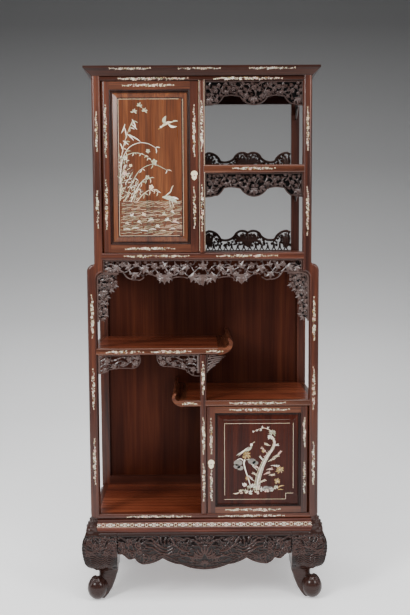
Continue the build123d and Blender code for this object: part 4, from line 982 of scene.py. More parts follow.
def mid_aprons():
    """Two aprons of prunus sprigs under the middle shelf, and the fan of leaves under its scroll end."""
    carving = Carving(front_of(carving_front))
    low, high = mm_box("mid_shelf_aprons")
    top = high[2]
    centre_low, centre_high = mm_box("centre_post_lower")
    post_left, post_right, left = centre_low[0], centre_high[0], low[0]
    left_drawn = [
        [(0, 68), (22, 67), (38, 56)], [(38, 56), (80, 50), (118, 51)], [(118, 51), (150, 34), (149, 0)]
    ]
    right_drawn = [
        [(0, 78), (26, 77), (48, 58)], [(48, 58), (90, 47), (130, 44)], [(130, 44), (150, 28), (153, 0)]
    ]
    for drawn, x, sign, seed in ((left_drawn, left, 1, 31), (right_drawn, post_left, -1, 37)):
        edge = [(x + sign * d, top - depth) for d, depth in traced(drawn)]
        frame_line = [(x, top - 66), (x, top), (x + sign * 150, top)]
        strip(carving, [(x + sign * 5, top), (x + sign * 5, top - 66)], 5.0)
        stems = [
            [(x + sign * d, top - depth) for d, depth in line]
            for line in (
                ((4, 62), (26, 50), (48, 46), (70, 36), (96, 40), (118, 26), (140, 28)),
                ((6, 46), (28, 32), (56, 36), (82, 22), (110, 30), (130, 12), (144, 12)),
                ((4, 26), (30, 15), (60, 20), (90, 8), (122, 14)),
            )
        ]
        flowers = placed((
            (134, 30, 12), (92, 34, 10), (58, 42, 10), (24, 54, 11), (112, 16, 10), (34, 22, 11), (142, 12, 8)
        ), top, x, sign)
        pierced(carving, edge, frame_line, seed, 8.0, 14.5, stems, flowers, (), 1.9, 1.7)
    for foot, reach, tip, width in (
        (64, 34, 38, 7.5), (50, 48, 27, 6.5), (37, 56, 19, 6), (25, 64, 12, 5.5), (14, 70, 6, 5),
        (5, 44, 2, 4)
    ):
        carving.blade(
            (post_right + 1, top - foot), (post_right + reach * 0.5, top - foot * 0.42 - tip * 0.5),
            (post_right + reach, top - tip), width, 2.0, 5.0
        )
    strip(carving, [(post_right + 2.5, top - 1), (post_right + 2.5, top - 66)], 2.5)
    for d, depth in ((12, 12), (24, 26), (14, 42)):
        carving.blossom(post_right + d, top - depth, 6.5, d * 0.3, 1.4)
    carving.finish("mid_shelf_carving", wood_pierced, ["mid_shelf_aprons"])


mid_aprons()

# Aprons and galleries of the display, and the side aprons
DRAWN_DISPLAY_HALF, DRAWN_SIDE_HALF = 171, 173
display_apron_edge = [
    [(0, 84), (26, 77), (48, 56)],
    [(48, 56), (75, 51), (111, 56)],
    [(111, 56), (137, 80), (DRAWN_DISPLAY_HALF, 84)],
]
gallery_edge = [
    [(0, -78), (30, -84), (56, -62)],
    [(56, -62), (66, -54), (105, -50)],
    [(105, -50), (127, -76), (157, -84)],
    [(157, -84), (DRAWN_DISPLAY_HALF, -76)],
]
display_side_edge = [[(0, 44), (40, 40), (103, 44)], [(103, 44), (143, 66), (DRAWN_SIDE_HALF, 84)]]
lower_side_edge = [
    [(0, 35), (36, 41), (70, 29)],
    [(70, 29), (104, 45), (139, 59)],
    [(139, 59), (155, 79), (DRAWN_SIDE_HALF, 85)],
]


def hanging_panel(carving, drawn, half, across, top, seed, waves, extra, solid=False):
    """A pierced apron that hangs from a straight rail, with winding stems, main leaves and flowers."""
    edge = hung(drawn, half, top, across)
    frame_line = [(across - half, top), (across + half, top)]
    low, high = level_of(edge), (lambda x: top - 5)
    ends = (across - half + 4, across + half - 4)
    stems = [vine(*ends, low, high, waves, phase) for phase in (0.9, 0.9 + pi)]
    flowers, leaves = extra
    if solid:
        corners = [(across + half - 2, top), (across - half + 2, top)]
        ground(carving, inset_line(edge, 2.4, (across, top)) + corners)
        for side in (-1, 1):
            end = across + side * (half - 2.4)
            strip(carving, [(end, top), (end, edge[0][1] + 4)])
    flowers, leaves = placed(flowers, top, across), placed(leaves, top, across)
    pierced(carving, edge, frame_line, seed, 12.5, 13.0, stems, flowers, leaves, RIM_RADIUS, 1.5)


def gallery(carving, across, half, base, seed):
    """A crest of scrolls and leaves with a bouquet in the middle, over a row of small pointed arches."""
    draw = random.Random(seed)
    edge = hung(gallery_edge, half, base, across)
    far_below, arch_height, arch_pitch = (across, base - FAR), 21, 24
    for inset, radius in ((3.4, 3.4), (8.0, 2.8)):
        carving.rod([(x, RIM_DEPTH, z) for x, z in inset_line(edge, inset, far_below)], radius, 1.6)
    field = inset_line(edge, 9, far_below)
    field += [(across + half, base + arch_height), (across - half, base + arch_height)]
    rim_level = level_of(edge)
    for x, z in scattered(field, 8.5, 1.0, draw):
        if z > rim_level(x) - 13:
            continue
        carving.lobed_leaf(x, z, draw.uniform(9, 12), draw.uniform(0, tau), draw.uniform(2, 5), 4.0)
    for k in range(9):
        turn = (k - 4) * 0.30
        tip = (across + 56 * sin(turn), base + 12 + 62 * cos(turn))
        carving.blade((across, base + 14), (across + 22 * sin(turn * 1.3), base + 42), tip, 13, 1.6, 6.0)
    for side in (-1, 1):
        for k in range(3):
            foot = (across + side * (156 - 6 * k), base + 12)
            tip = (across + side * (162 - 12 * k), base + 72 - 4 * k)
            carving.blade(foot, ((foot[0] + tip[0]) / 2 + side * 5, base + 42), tip, 12, 1.8, 6.0)
    count = int(2 * half / arch_pitch)
    for k in range(count):
        x = across - half + arch_pitch * (k + 0.5)
        for lean in (-1, 1):
            carving.rod([(x, RIM_DEPTH, base + arch_height + 3), (x + lean * 3, RIM_DEPTH, base + 10),
                         (x + lean * 9, RIM_DEPTH, base + 1)], (3.4, 2.6, 2.2), 1.6)
    foot = [(across + side * (half - 1), RIM_DEPTH, base + 1.6) for side in (-1, 1)]
    carving.rod(foot, 1.6, 2.4)


def display_carvings():
    """The aprons, crests and side aprons of the display in the upper case."""
    low, high = mm_box("display_aprons")
    middle, half = (low[0] + high[0]) / 2, (high[0] - low[0]) / 2
    tops = (high[2], mm_box("display_shelf_rails")[0][2])
    carving = Carving(front_of(carving_front))
    extra = (
        [(0, 22, 10), (72, 28, 8), (-72, 28, 8), (134, 34, 9), (-134, 34, 9)],
        [(0, 60, 22, pi), (26, 50, 16, 2.5), (-26, 50, 16, -2.5), (154, 62, 21, pi), (-154, 62, 21, pi),
         (96, 36, 16, 2.8), (-96, 36, 16, -2.8), (48, 34, 15, 3.0), (-48, 34, 15, -3.0)],
    )
    for number, top in enumerate(tops):
        hanging_panel(carving, display_apron_edge, half, middle, top, 51 + number, 5.5, extra, solid=True)
    carving.finish("display_apron_carving", wood_display, ["display_aprons"])

    low, high = mm_box("display_galleries")
    carving = Carving(front_of(low[1]))
    bases = (low[2], mm_box("display_shelf_rails")[1][2])
    for number, base in enumerate(bases):
        gallery(carving, middle, half, base, 61 + number)
    carving.finish("display_gallery_carving", wood_gallery, ["display_galleries"])

    low, high = mm_box("display_side_aprons")
    carving = Carving(side_of(1, high[0]))
    extra = ([(0, 20, 8), (86, 22, 7), (-86, 22, 7)], [(150, 52, 13, pi), (-150, 52, 13, pi)])
    for number, top in enumerate(tops):
        hanging_panel(carving, display_side_edge, high[1], 0, top, 71 + number, 4.5, extra)
    carving.finish("display_side_carving", wood_pierced, ["display_side_aprons"])


display_carvings()


def lower_side_carvings():
    """The pierced aprons on the two sides of the lower case."""
    low, high = mm_box("lower_side_aprons")
    extra = ([(0, 18, 7), (70, 16, 6)], [(156, 56, 13, pi), (-156, 56, 13, pi)])
    for sign, word in ((-1, "left"), (1, "right")):
        carving = Carving(side_of(sign, high[0]))
        hanging_panel(carving, lower_side_edge, high[1], 0, high[2], 81 + sign, 4.5, extra)
        carving.finish(f"lower_side_carving_{word}", wood_pierced, ["lower_side_aprons"])


lower_side_carvings()

# ------------------------------------------------------------------ relief carving of the stand

RELIEF_HEIGHT = 3.4
stand_low, stand_high = mm_box("stand_top_frame")
frame_under = stand_low[2]
side_turn = (cad_high[0] - cad_high[1]) / MM


class Relief:
    """Raised strokes on a face, drawn in millimetres as (along from the middle, height)."""

    def __init__(self):
        self.strokes = []

    def stroke(self, line, width, height=RELIEF_HEIGHT, taper=True):
        """A ridge along a line, as wide as width and, with taper, thinner towards both ends."""
        line = np.array([tuple(p)[:2] for p in line], float)
        share = np.linspace(0, 1, len(line))
        bulge = 0.35 + 0.65 * np.sin(np.pi * np.clip(share * 0.92 + 0.04, 0, 1)) if taper else 1.0
        widths = width / 2 * bulge
        self.strokes.append((line, np.broadcast_to(widths, share.shape), height))

    def curve(self, points, width, height=RELIEF_HEIGHT, taper=True):
        self.stroke(flowing(points, 6), width, height, taper)

    def below(self, points, width, height=RELIEF_HEIGHT, taper=True):
        """A curve whose points are given as (across, distance below the frame)."""
        self.curve(below_frame(points), width, height, taper)

    def volutes(self, rows, turns, width=4.4, shift=0):
        """Cloud scrolls, each given as (across, distance below the frame, radius, start, hand)."""
        for x, depth, radius, start, hand in rows:
            self.volute(x + shift, frame_under - depth, radius, turns, start, hand, width)

    def volute(self, x, z, radius, turns, start, hand, width):
        """A cloud scroll that winds into its eye."""
        steps = int(18 * turns)
        line = []
        for i in range(steps + 1):
            share = i / steps
            angle = start + hand * tau * turns * share
            reach = radius * (1 - 0.82 * share)
            line.append((x + reach * cos(angle), z + reach * sin(angle)))
        self.stroke(line, width, taper=False)
        self.dot(x, z, radius * 0.24)

    def dot(self, x, z, radius):
        self.strokes.append((np.array([(x, z), (x + 0.01, z)]), np.array([radius, radius]), RELIEF_HEIGHT))

    def plume(self, points, width, barbs=7):
        """A leaf seen from above: a midrib with barbs that sweep back on both sides."""
        line = flowing(points, 8)
        self.stroke(line, 3.0, taper=False)
        for i in range(1, barbs + 1):
            at = int((len(line) - 2) * i / (barbs + 0.6))
            ahead = line[at + 1] - line[at]
            along = Vector((ahead[0], ahead[1])).normalized()
            across = Vector((-along[1], along[0]))
            reach = width / 2 * sin(pi * (0.15 + 0.75 * i / barbs))
            root = Vector((line[at][0], line[at][1]))
            for side in (1, -1):
                middle = root + across * side * reach * 0.55 - along * reach * 0.1
                tip = root + across * side * reach - along * reach * 0.75
                self.curve([root, middle, tip], 3.6, RELIEF_HEIGHT * 0.85)

    def heights(self, points):
        """The height of the carving at each point."""
        result = np.zeros(len(points))
        for line, widths, height in self.strokes:
            reach = widths.max()
            low, high = line.min(0) - reach, line.max(0) + reach
            near = np.flatnonzero(((points >= low) & (points <= high)).all(1))
            if not len(near):
                continue
            here = points[near]
            best = np.zeros(len(near))
            for (a, b, wa, wb) in zip(line, line[1:], widths, widths[1:]):
                along = b - a
                length = max(float(along @ along), 1e-9)
                share = np.clip(((here - a) @ along) / length, 0, 1)
                gap = np.linalg.norm(here - a - share[:, None] * along, axis=1)
                width = wa + (wb - wa) * share
                best = np.maximum(best, height * np.sqrt(np.clip(1 - (gap / width) ** 2, 0, 1)))
            result[near] = np.maximum(result[near], best)
        return result


def flow_angle(x, z):
    """Direction in which small strokes between the main motifs run."""
    return 0.9 * sin(x * 0.045 + 1.3) + 0.7 * cos(z * 0.07 + x * 0.02) + 0.3


def filled(relief, polygon, spacing, seed, taken):
    """Fill the ground between the motifs with short curled strokes."""
    draw = random.Random(seed)
    for x, z in scattered(polygon, spacing, 3.0, draw, taken, 5000):
        angle = flow_angle(x, z) + draw.uniform(-0.4, 0.4)
        length = draw.uniform(7, 12)
        bend = draw.uniform(-4.0, 4.0)
        dx, dz = cos(angle), sin(angle)
        middle = (x - dz * bend, z + dx * bend)
        relief.curve(
            [(x - dx * length, z - dz * length), middle, (x + dx * length, z + dz * length)],
            draw.uniform(3.6, 5.2), RELIEF_HEIGHT * draw.uniform(0.55, 0.9),
        )


DRAWN_FRONT_HALF, DRAWN_APRON_SIDE_HALF = 311, 108
front_apron_edge = [
    [(0, 141), (46, 135), (88, 119)],
    [(88, 119), (122, 110), (151, 93)],
    [(151, 93), (184, 111), (216, 118)],
    [(216, 118), (238, 111), (251, 92)],
    [(251, 92), (267, 96), (280, 92)],
    [(280, 92), (293, 79), (DRAWN_FRONT_HALF, 74)],
]
side_apron_edge = [
    [(0, 117), (26, 113), (46, 99)],
    [(46, 99), (62, 103), (78, 92)],
    [(78, 92), (92, 79), (DRAWN_APRON_SIDE_HALF, 74)],
]


def below_frame(points):
    """Points given as (across, distance below the frame) as points on the face of the stand."""
    return [(x, frame_under - depth) for x, depth in points]


def beaded_rim(relief, edge):
    """The double ridge that follows an apron's lower edge."""
    for inset, width, height in ((2.6, 4.6, RELIEF_HEIGHT), (9.5, 2.6, RELIEF_HEIGHT * 0.6)):
        relief.stroke([(x, z + inset) for x, z in edge], width, height, False)


def front_relief():
    relief = Relief()
    edge = below_frame(traced(front_apron_edge))
    beaded_rim(relief, edge)
    # A lotus in the middle over a rosette at the lowest point, and a ribbon of five beads under the frame
    for reach, top, foot in ((0, 44, 74), (12, 48, 76), (25, 57, 80), (38, 68, 84)):
        relief.below([(reach * 0.2, foot), (reach * 0.75, (top + foot) / 2 + 4), (reach, top)], 8.5)
    for reach, drop in ((30, 92), (58, 90), (84, 84)):
        relief.below([(6, 84), (reach * 0.5, drop + 3), (reach, drop - 4), (reach + 12, drop - 14)], 6.0)
    for k in range(4):
        turn = k * tau / 8
        relief.below([(0, 113), (13 * sin(turn), 113 - 10 * cos(turn))], 7.5, taper=False)
    relief.below([(18, 116), (32, 108), (50, 106), (66, 100)], 6.0)
    relief.volutes([(44, 98, 8, 0.5, 1)], 1.2)
    relief.below([(0, 30), (12, 36), (26, 34), (40, 24)], 6.0)
    for k in range(3):
        relief.dot(k * 9.5, frame_under - 19, 4.0)
    # A fan-shaped leaf on each side of it, ribbons that stream outwards, and cloud scrolls in the lobes
    relief.plume(below_frame([(60, 60), (80, 40), (100, 22), (112, 18)]), 36, 5)
    relief.below([(56, 66), (78, 62), (104, 44), (118, 22)], 6.5, taper=False)
    for drop, lift in ((0, 0), (12, 2), (24, 6)):
        ends = [(190, 20 + drop + lift), (214, 18 + drop + lift)]
        relief.below([(112, 40 + drop), (138, 52 + drop), (166, 42 + drop)] + ends, 6.0)
    relief.below([(70, 84), (100, 74), (128, 78), (150, 72), (172, 76)], 5.5)
    relief.below([(96, 98), (124, 92), (150, 80), (168, 88)], 5.5)
    volutes = (
        (212, 92, 17, 0.6, 1), (184, 92, 10, 2.6, -1), (260, 76, 14, 0.2, 1), (234, 66, 11, 2.0, -1),
        (238, 40, 14, 4.0, 1), (286, 62, 12, 1.0, -1), (270, 34, 12, 5.2, 1), (300, 40, 11, 3.0, 1),
    )
    relief.volutes(volutes, 1.4, 5.2)
    taken = below_frame([
        (0, 40), (0, 60), (20, 60), (20, 80), (36, 74), (40, 92), (64, 86), (10, 100), (80, 40), (96, 30),
        (100, 50), (130, 50), (150, 56), (176, 40), (200, 26), (130, 66), (160, 62), (190, 42), (110, 76),
        (140, 76), (124, 92),
    ] + [row[:2] for row in volutes])
    polygon = edge + [(DRAWN_FRONT_HALF, frame_under - 12), (0, frame_under - 12)]
    filled(relief, polygon, 11.0, 5, taken)
    return relief


def knee_relief(relief):
    """Scrolls and combed waves on a leg's knee, drawn on from the apron."""
    volutes = (
        (332, 42, 14, 0.4, 1), (364, 28, 11, 2.2, -1), (352, 66, 12, 3.4, 1), (392, 48, 13, 1.4, -1),
        (416, 30, 10, 4.4, 1), (420, 74, 11, 0.8, 1), (326, 76, 10, 5.0, -1),
    )
    relief.volutes(volutes, 1.5)
    for k in range(8):
        depth = 84 + 8.5 * k
        ends = [(404, depth - 8), (438 - k * 3, depth + 3)]
        wave = [(322 + k * 2, depth + 4), (346, depth - 9), (372, depth + 7)] + ends
        relief.below(wave, 4.6, RELIEF_HEIGHT * 0.9)
    relief.below([(316, 60), (340, 54), (368, 50), (398, 66), (430, 56)], 5.0)
    relief.below([(314, 22), (340, 20), (380, 14), (420, 16)], 4.4)
    polygon = below_frame([(DRAWN_FRONT_HALF, 12), (430, 10), (440, 60), (436, 84), (DRAWN_FRONT_HALF, 84)])
    filled(relief, polygon, 8.5, 6, below_frame([row[:2] for row in volutes]))


def side_relief():
    """The short aprons: a small flower in the middle, scrolls in the lobes."""
    relief = Relief()
    edge = [(x + side_turn, z) for x, z in below_frame(traced(side_apron_edge))]
    beaded_rim(relief, edge)
    begin = side_turn
    for k in range(5):
        relief.below([(begin + k * 2.5, 80), (begin + k * 7.5, 104 - k)], 5.6)
    for k in range(3):
        x = begin + 8 + k * 11
        relief.below([(begin + 3, 76), (x, 60 + k * 3), (x + 4, 46 + k * 9)], 6.4)
    volutes = (
        (34, 84, 11, 0.6, 1), (60, 74, 10, 2.0, -1), (44, 46, 12, 1.0, 1), (76, 50, 11, 4.0, -1),
        (88, 66, 9, 2.0, 1), (66, 26, 9, 0.4, 1), (24, 28, 9, 3.0, -1), (94, 30, 10, 1.6, 1),
    )
    relief.volutes(volutes, 1.5, shift=begin)
    polygon = edge + [(begin + DRAWN_APRON_SIDE_HALF, frame_under - 12), (begin, frame_under - 12)]
    filled(relief, polygon, 8.0, 7, [])
    return relief


front_strokes = front_relief()
knee_relief(front_strokes)
side_strokes = side_relief()
knee_relief(side_strokes)


def remeshed(mesh, voxel):
    """The mesh of closed solids as one skin of small even faces."""
    piece = bpy.data.objects.new("skin", mesh)
    scene.collection.objects.link(piece)
    modifier = piece.modifiers.new("skin", "REMESH")
    modifier.mode = "VOXEL"
    modifier.voxel_size = voxel
    modifier.use_smooth_shade = True
    result = bpy.data.meshes.new_from_object(piece.evaluated_get(bpy.context.evaluated_depsgraph_get()))
    bpy.data.objects.remove(piece)
    return result


def vertex_values(mesh, name):
    """One row of three numbers for each vertex."""
    values = np.zeros(len(mesh.vertices) * 3, np.float32)
    mesh.vertices.foreach_get(name, values)
    return values.reshape(-1, 3).astype(float)


# Relief fades out where a face turns away (as a share), above the lowest height and under the frame (mm)
FACING_FADE, FOOT_FADE, FRAME_MARGIN, FRAME_FADE = 0.25, 8, 8, 5


def carve(mesh, lowest):
    """Sink the ground of a stand piece between the strokes, on its outer faces above a height (mm), and paint
    shade on the ground and a highlight on the strokes.
    """
    place = vertex_values(mesh, "co") / MM
    normal = vertex_values(mesh, "normal")
    outward = np.abs(normal[:, 1]) >= np.abs(normal[:, 0])
    along = np.where(outward, np.abs(place[:, 0]), np.abs(place[:, 1]) + side_turn)
    facing = np.where(outward, normal[:, 1] * np.sign(place[:, 1]), normal[:, 0] * np.sign(place[:, 0]))
    points = np.stack([along, place[:, 2]], 1)
    heights = np.where(outward, front_strokes.heights(points), side_strokes.heights(points))
    fade = np.clip((facing - FACING_FADE) / FACING_FADE, 0, 1)
    fade = fade * np.clip((place[:, 2] - lowest) / FOOT_FADE, 0, 1)
    fade = fade * np.clip((frame_under - place[:, 2] - FRAME_MARGIN) / FRAME_FADE, 0, 1)
    place -= normal * ((RELIEF_HEIGHT - heights) * fade)[:, None]
    place = np.clip(place, np.array(cad_low) / MM, np.array(cad_high) / MM)
    mesh.vertices.foreach_set("co", (place * MM).astype(np.float32).ravel())
    # Painted light: the "relief" value is low on the sunken ground for painted shade, high on the strokes for
    # a painted highlight, and middling where the relief fades
    shown = np.where(fade > 0, heights / RELIEF_HEIGHT * fade + 0.5 * (1 - fade), 0.5)
    point_values(mesh, "relief", shown)
    mesh.update()


# Size of the even faces that relief is carved on, and the gap within which vertices are one
SKIN_VOXEL = 1.7 * MM
WELD = 0.01 * MM


def stand_piece(name, mesh, replaced, lowest):
    """A piece of the stand, carved in relief above a height, in place of its node."""
    skin = remeshed(mesh, SKIN_VOXEL)
    skin.name = name
    carve(skin, lowest)
    skin.shade_smooth()
    dress(name, skin, wood_carved, [replaced])


for word in ("front", "back", "sides"):
    node = "stand_apron_" + word
    stand_piece(f"apron_carving_{word}", nodes[node].data.copy(), node, 0)

# A leg below its knee: the trunk that curls out under the ball, as (middle, half width, height) of sections
ANKLE = 107
TRUNK = [
    (366, 46, 120), (356, 38, 104), (355, 35.5, 91), (358, 33, 75), (360, 31, 61), (367, 27, 35),
    (375, 22, 15), (379, 13, 0.5)
]
BALL_PLACE, BALL_HEIGHT, BALL_RADII = 393, 42.5, (36.5, 36.5, 42)
BALL_FORWARD = 3

# The head of a leg, which rises over the corner of the frame, as (its outer face, its width, height)
EAR = [
    (430, 50, 250), (427, 44, 262), (426, 36, 276), (420, 33, 290), (415.5, 30, 300), (409, 20, 309),
    (404, 10, 316)
]


def leg_ear(edit, sign_x, sign_y):
    """The carved head of a leg: a tapering corner with a cloud scroll on each of its two faces."""
    verts = []
    for outer, width, z in EAR:
        for x, y in (
            (outer, outer), (outer - width, outer), (outer - width, outer - width), (outer, outer - width)
        ):
            verts.append((sign_x * x * MM, sign_y * (y - side_turn) * MM, z * MM))
    faces = [(3, 2, 1, 0), tuple(range(len(verts) - 4, len(verts)))]
    add_closed(edit, verts, faces + walls(4, len(EAR)))
    for level, (outer, width, z) in enumerate(EAR[1:-1]):
        along, radius = outer - width * (0.35 + 0.3 * (level % 2)), width * 0.24
        for x, y, flat in ((along, outer, 1), (outer, along, 0)):
            radii = [radius * MM, radius * MM, radius * 0.8 * MM]
            radii[flat] = 3.0 * MM
            place = (sign_x * x * MM, sign_y * (y - side_turn) * MM, z * MM)
            add_closed(edit, *ball_shape(place, radii, 14, 8))


def foot_trunk(sign_x, sign_y):
    """Vertices and faces of the trunk, with rounded square sections."""
    around, power = 28, 0.62
    verts = []
    for middle, half, z in TRUNK:
        for k in range(around):
            angle = tau * k / around
            c, s = cos(angle), sin(angle)
            x = middle + half * copysign(abs(c) ** power, c)
            y = middle - side_turn + half * copysign(abs(s) ** power, s)
            y += BALL_FORWARD * max(0, ANKLE - z) / ANKLE
            verts.append((sign_x * x * MM, sign_y * y * MM, z * MM))
    return verts, capped(around, len(TRUNK))


def add_closed(edit, verts, faces):
    """Add one closed shape, with its faces turned outwards."""
    made = [edit.verts.new(v) for v in verts]
    fresh = [edit.faces.new([made[i] for i in face]) for face in faces]
    bmesh.ops.recalc_face_normals(edit, faces=fresh)


def leg_mesh(node, sign_x, sign_y):
    """A leg: its node above the ankle, a carved head, and a ball and trunk of its own below."""
    edit = bmesh.new()
    edit.from_mesh(nodes[node].data)
    bmesh.ops.remove_doubles(edit, verts=edit.verts, dist=WELD)
    geometry = edit.verts[:] + edit.edges[:] + edit.faces[:]
    cut = bmesh.ops.bisect_plane(
        edit, geom=geometry, plane_co=(0, 0, ANKLE * MM), plane_no=(0, 0, 1), clear_inner=True
    )
    bmesh.ops.holes_fill(edit, edges=[e for e in cut["geom_cut"] if isinstance(e, bmesh.types.BMEdge)])
    add_closed(edit, *foot_trunk(sign_x, sign_y))
    leg_ear(edit, sign_x, sign_y)
    forward = BALL_PLACE - side_turn + BALL_FORWARD
    centre = (sign_x * BALL_PLACE * MM, sign_y * forward * MM, BALL_HEIGHT * MM)
    add_closed(edit, *ball_shape(centre, [r * MM for r in BALL_RADII], 48, 32))
    # Petals that hold the ball from above, and the boss on each outer face
    for k in range(5):
        turn = atan2(sign_y, sign_x) + (k - 2) * 0.62
        for share, size in ((0.16, 6.0), (0.30, 5.0), (0.42, 3.5), (0.50, 2.0)):
            polar = share * pi / 2
            place = (
                centre[0] + BALL_RADII[0] * MM * sin(polar) * cos(turn),
                centre[1] + BALL_RADII[1] * MM * sin(polar) * sin(turn),
                centre[2] + (BALL_RADII[2] - 1.5) * MM * cos(polar),
            )
            add_closed(edit, *ball_shape(place, (size * MM,) * 3, 12, 8))
    for direction in ((0, sign_y), (sign_x, 0)):
        boss = tuple(centre[i] + (direction[i] * (BALL_RADII[i] - 4) * MM if i < 2 else 0) for i in range(3))
        radii = [(4 if direction[i] else 9) * MM for i in range(2)] + [9 * MM]
        add_closed(edit, *ball_shape(boss, radii, 20, 12))
    # Two beads where the knee's curl meets the inner sides of the leg
    for inner, face, z, size in ((322, 424, 150, 7), (334, 420, 140, 5)):
        for x, y in ((inner, face), (face, inner)):
            place = (sign_x * x * MM, sign_y * (y - side_turn) * MM, z * MM)
            add_closed(edit, *ball_shape(place, (size * MM,) * 3, 12, 8))
    mesh = bpy.data.meshes.new("leg")
    edit.to_mesh(mesh)
    edit.free()
    return mesh


for depth_word, sign_y in (("front", -1), ("back", 1)):
    for side_word, sign_x in (("left", -1), ("right", 1)):
        word = f"{depth_word}_{side_word}"
        stand_piece(f"leg_carving_{word}", leg_mesh(f"leg_{word}", sign_x, sign_y), f"leg_{word}", ANKLE + 2)

# ------------------------------------------------------------------ mother-of-pearl inlay

# How far a chip of shell stands over the wood and reaches into it
CHIP_RISE, CHIP_SINK = 0.3, 0.5
GOLD, CREAM, ROSE, WHITE, JADE, SMOKE = 0.0, 0.2, 0.4, 0.6, 0.8, 1.0
# A ray to the wood starts this far in front; a chip doesn't follow the wood over a deeper step than this
FAR_BEFORE = -400
DEEPEST_STEP = 2.5


def unit(direction):
    """Unit vector in the plane, along an angle."""
    return cos(direction), sin(direction)


# The inlay is drawn for a stand this high and an upper case this wide, and moves and stretches with them
DRAWN_STAND_TOP, DRAWN_UPPER_HALF = 293, 382.5
drawn_lift = stand_high[2] - DRAWN_STAND_TOP
drawn_stretch = mm_box("upper_post_front_right")[1][0] / DRAWN_UPPER_HALF


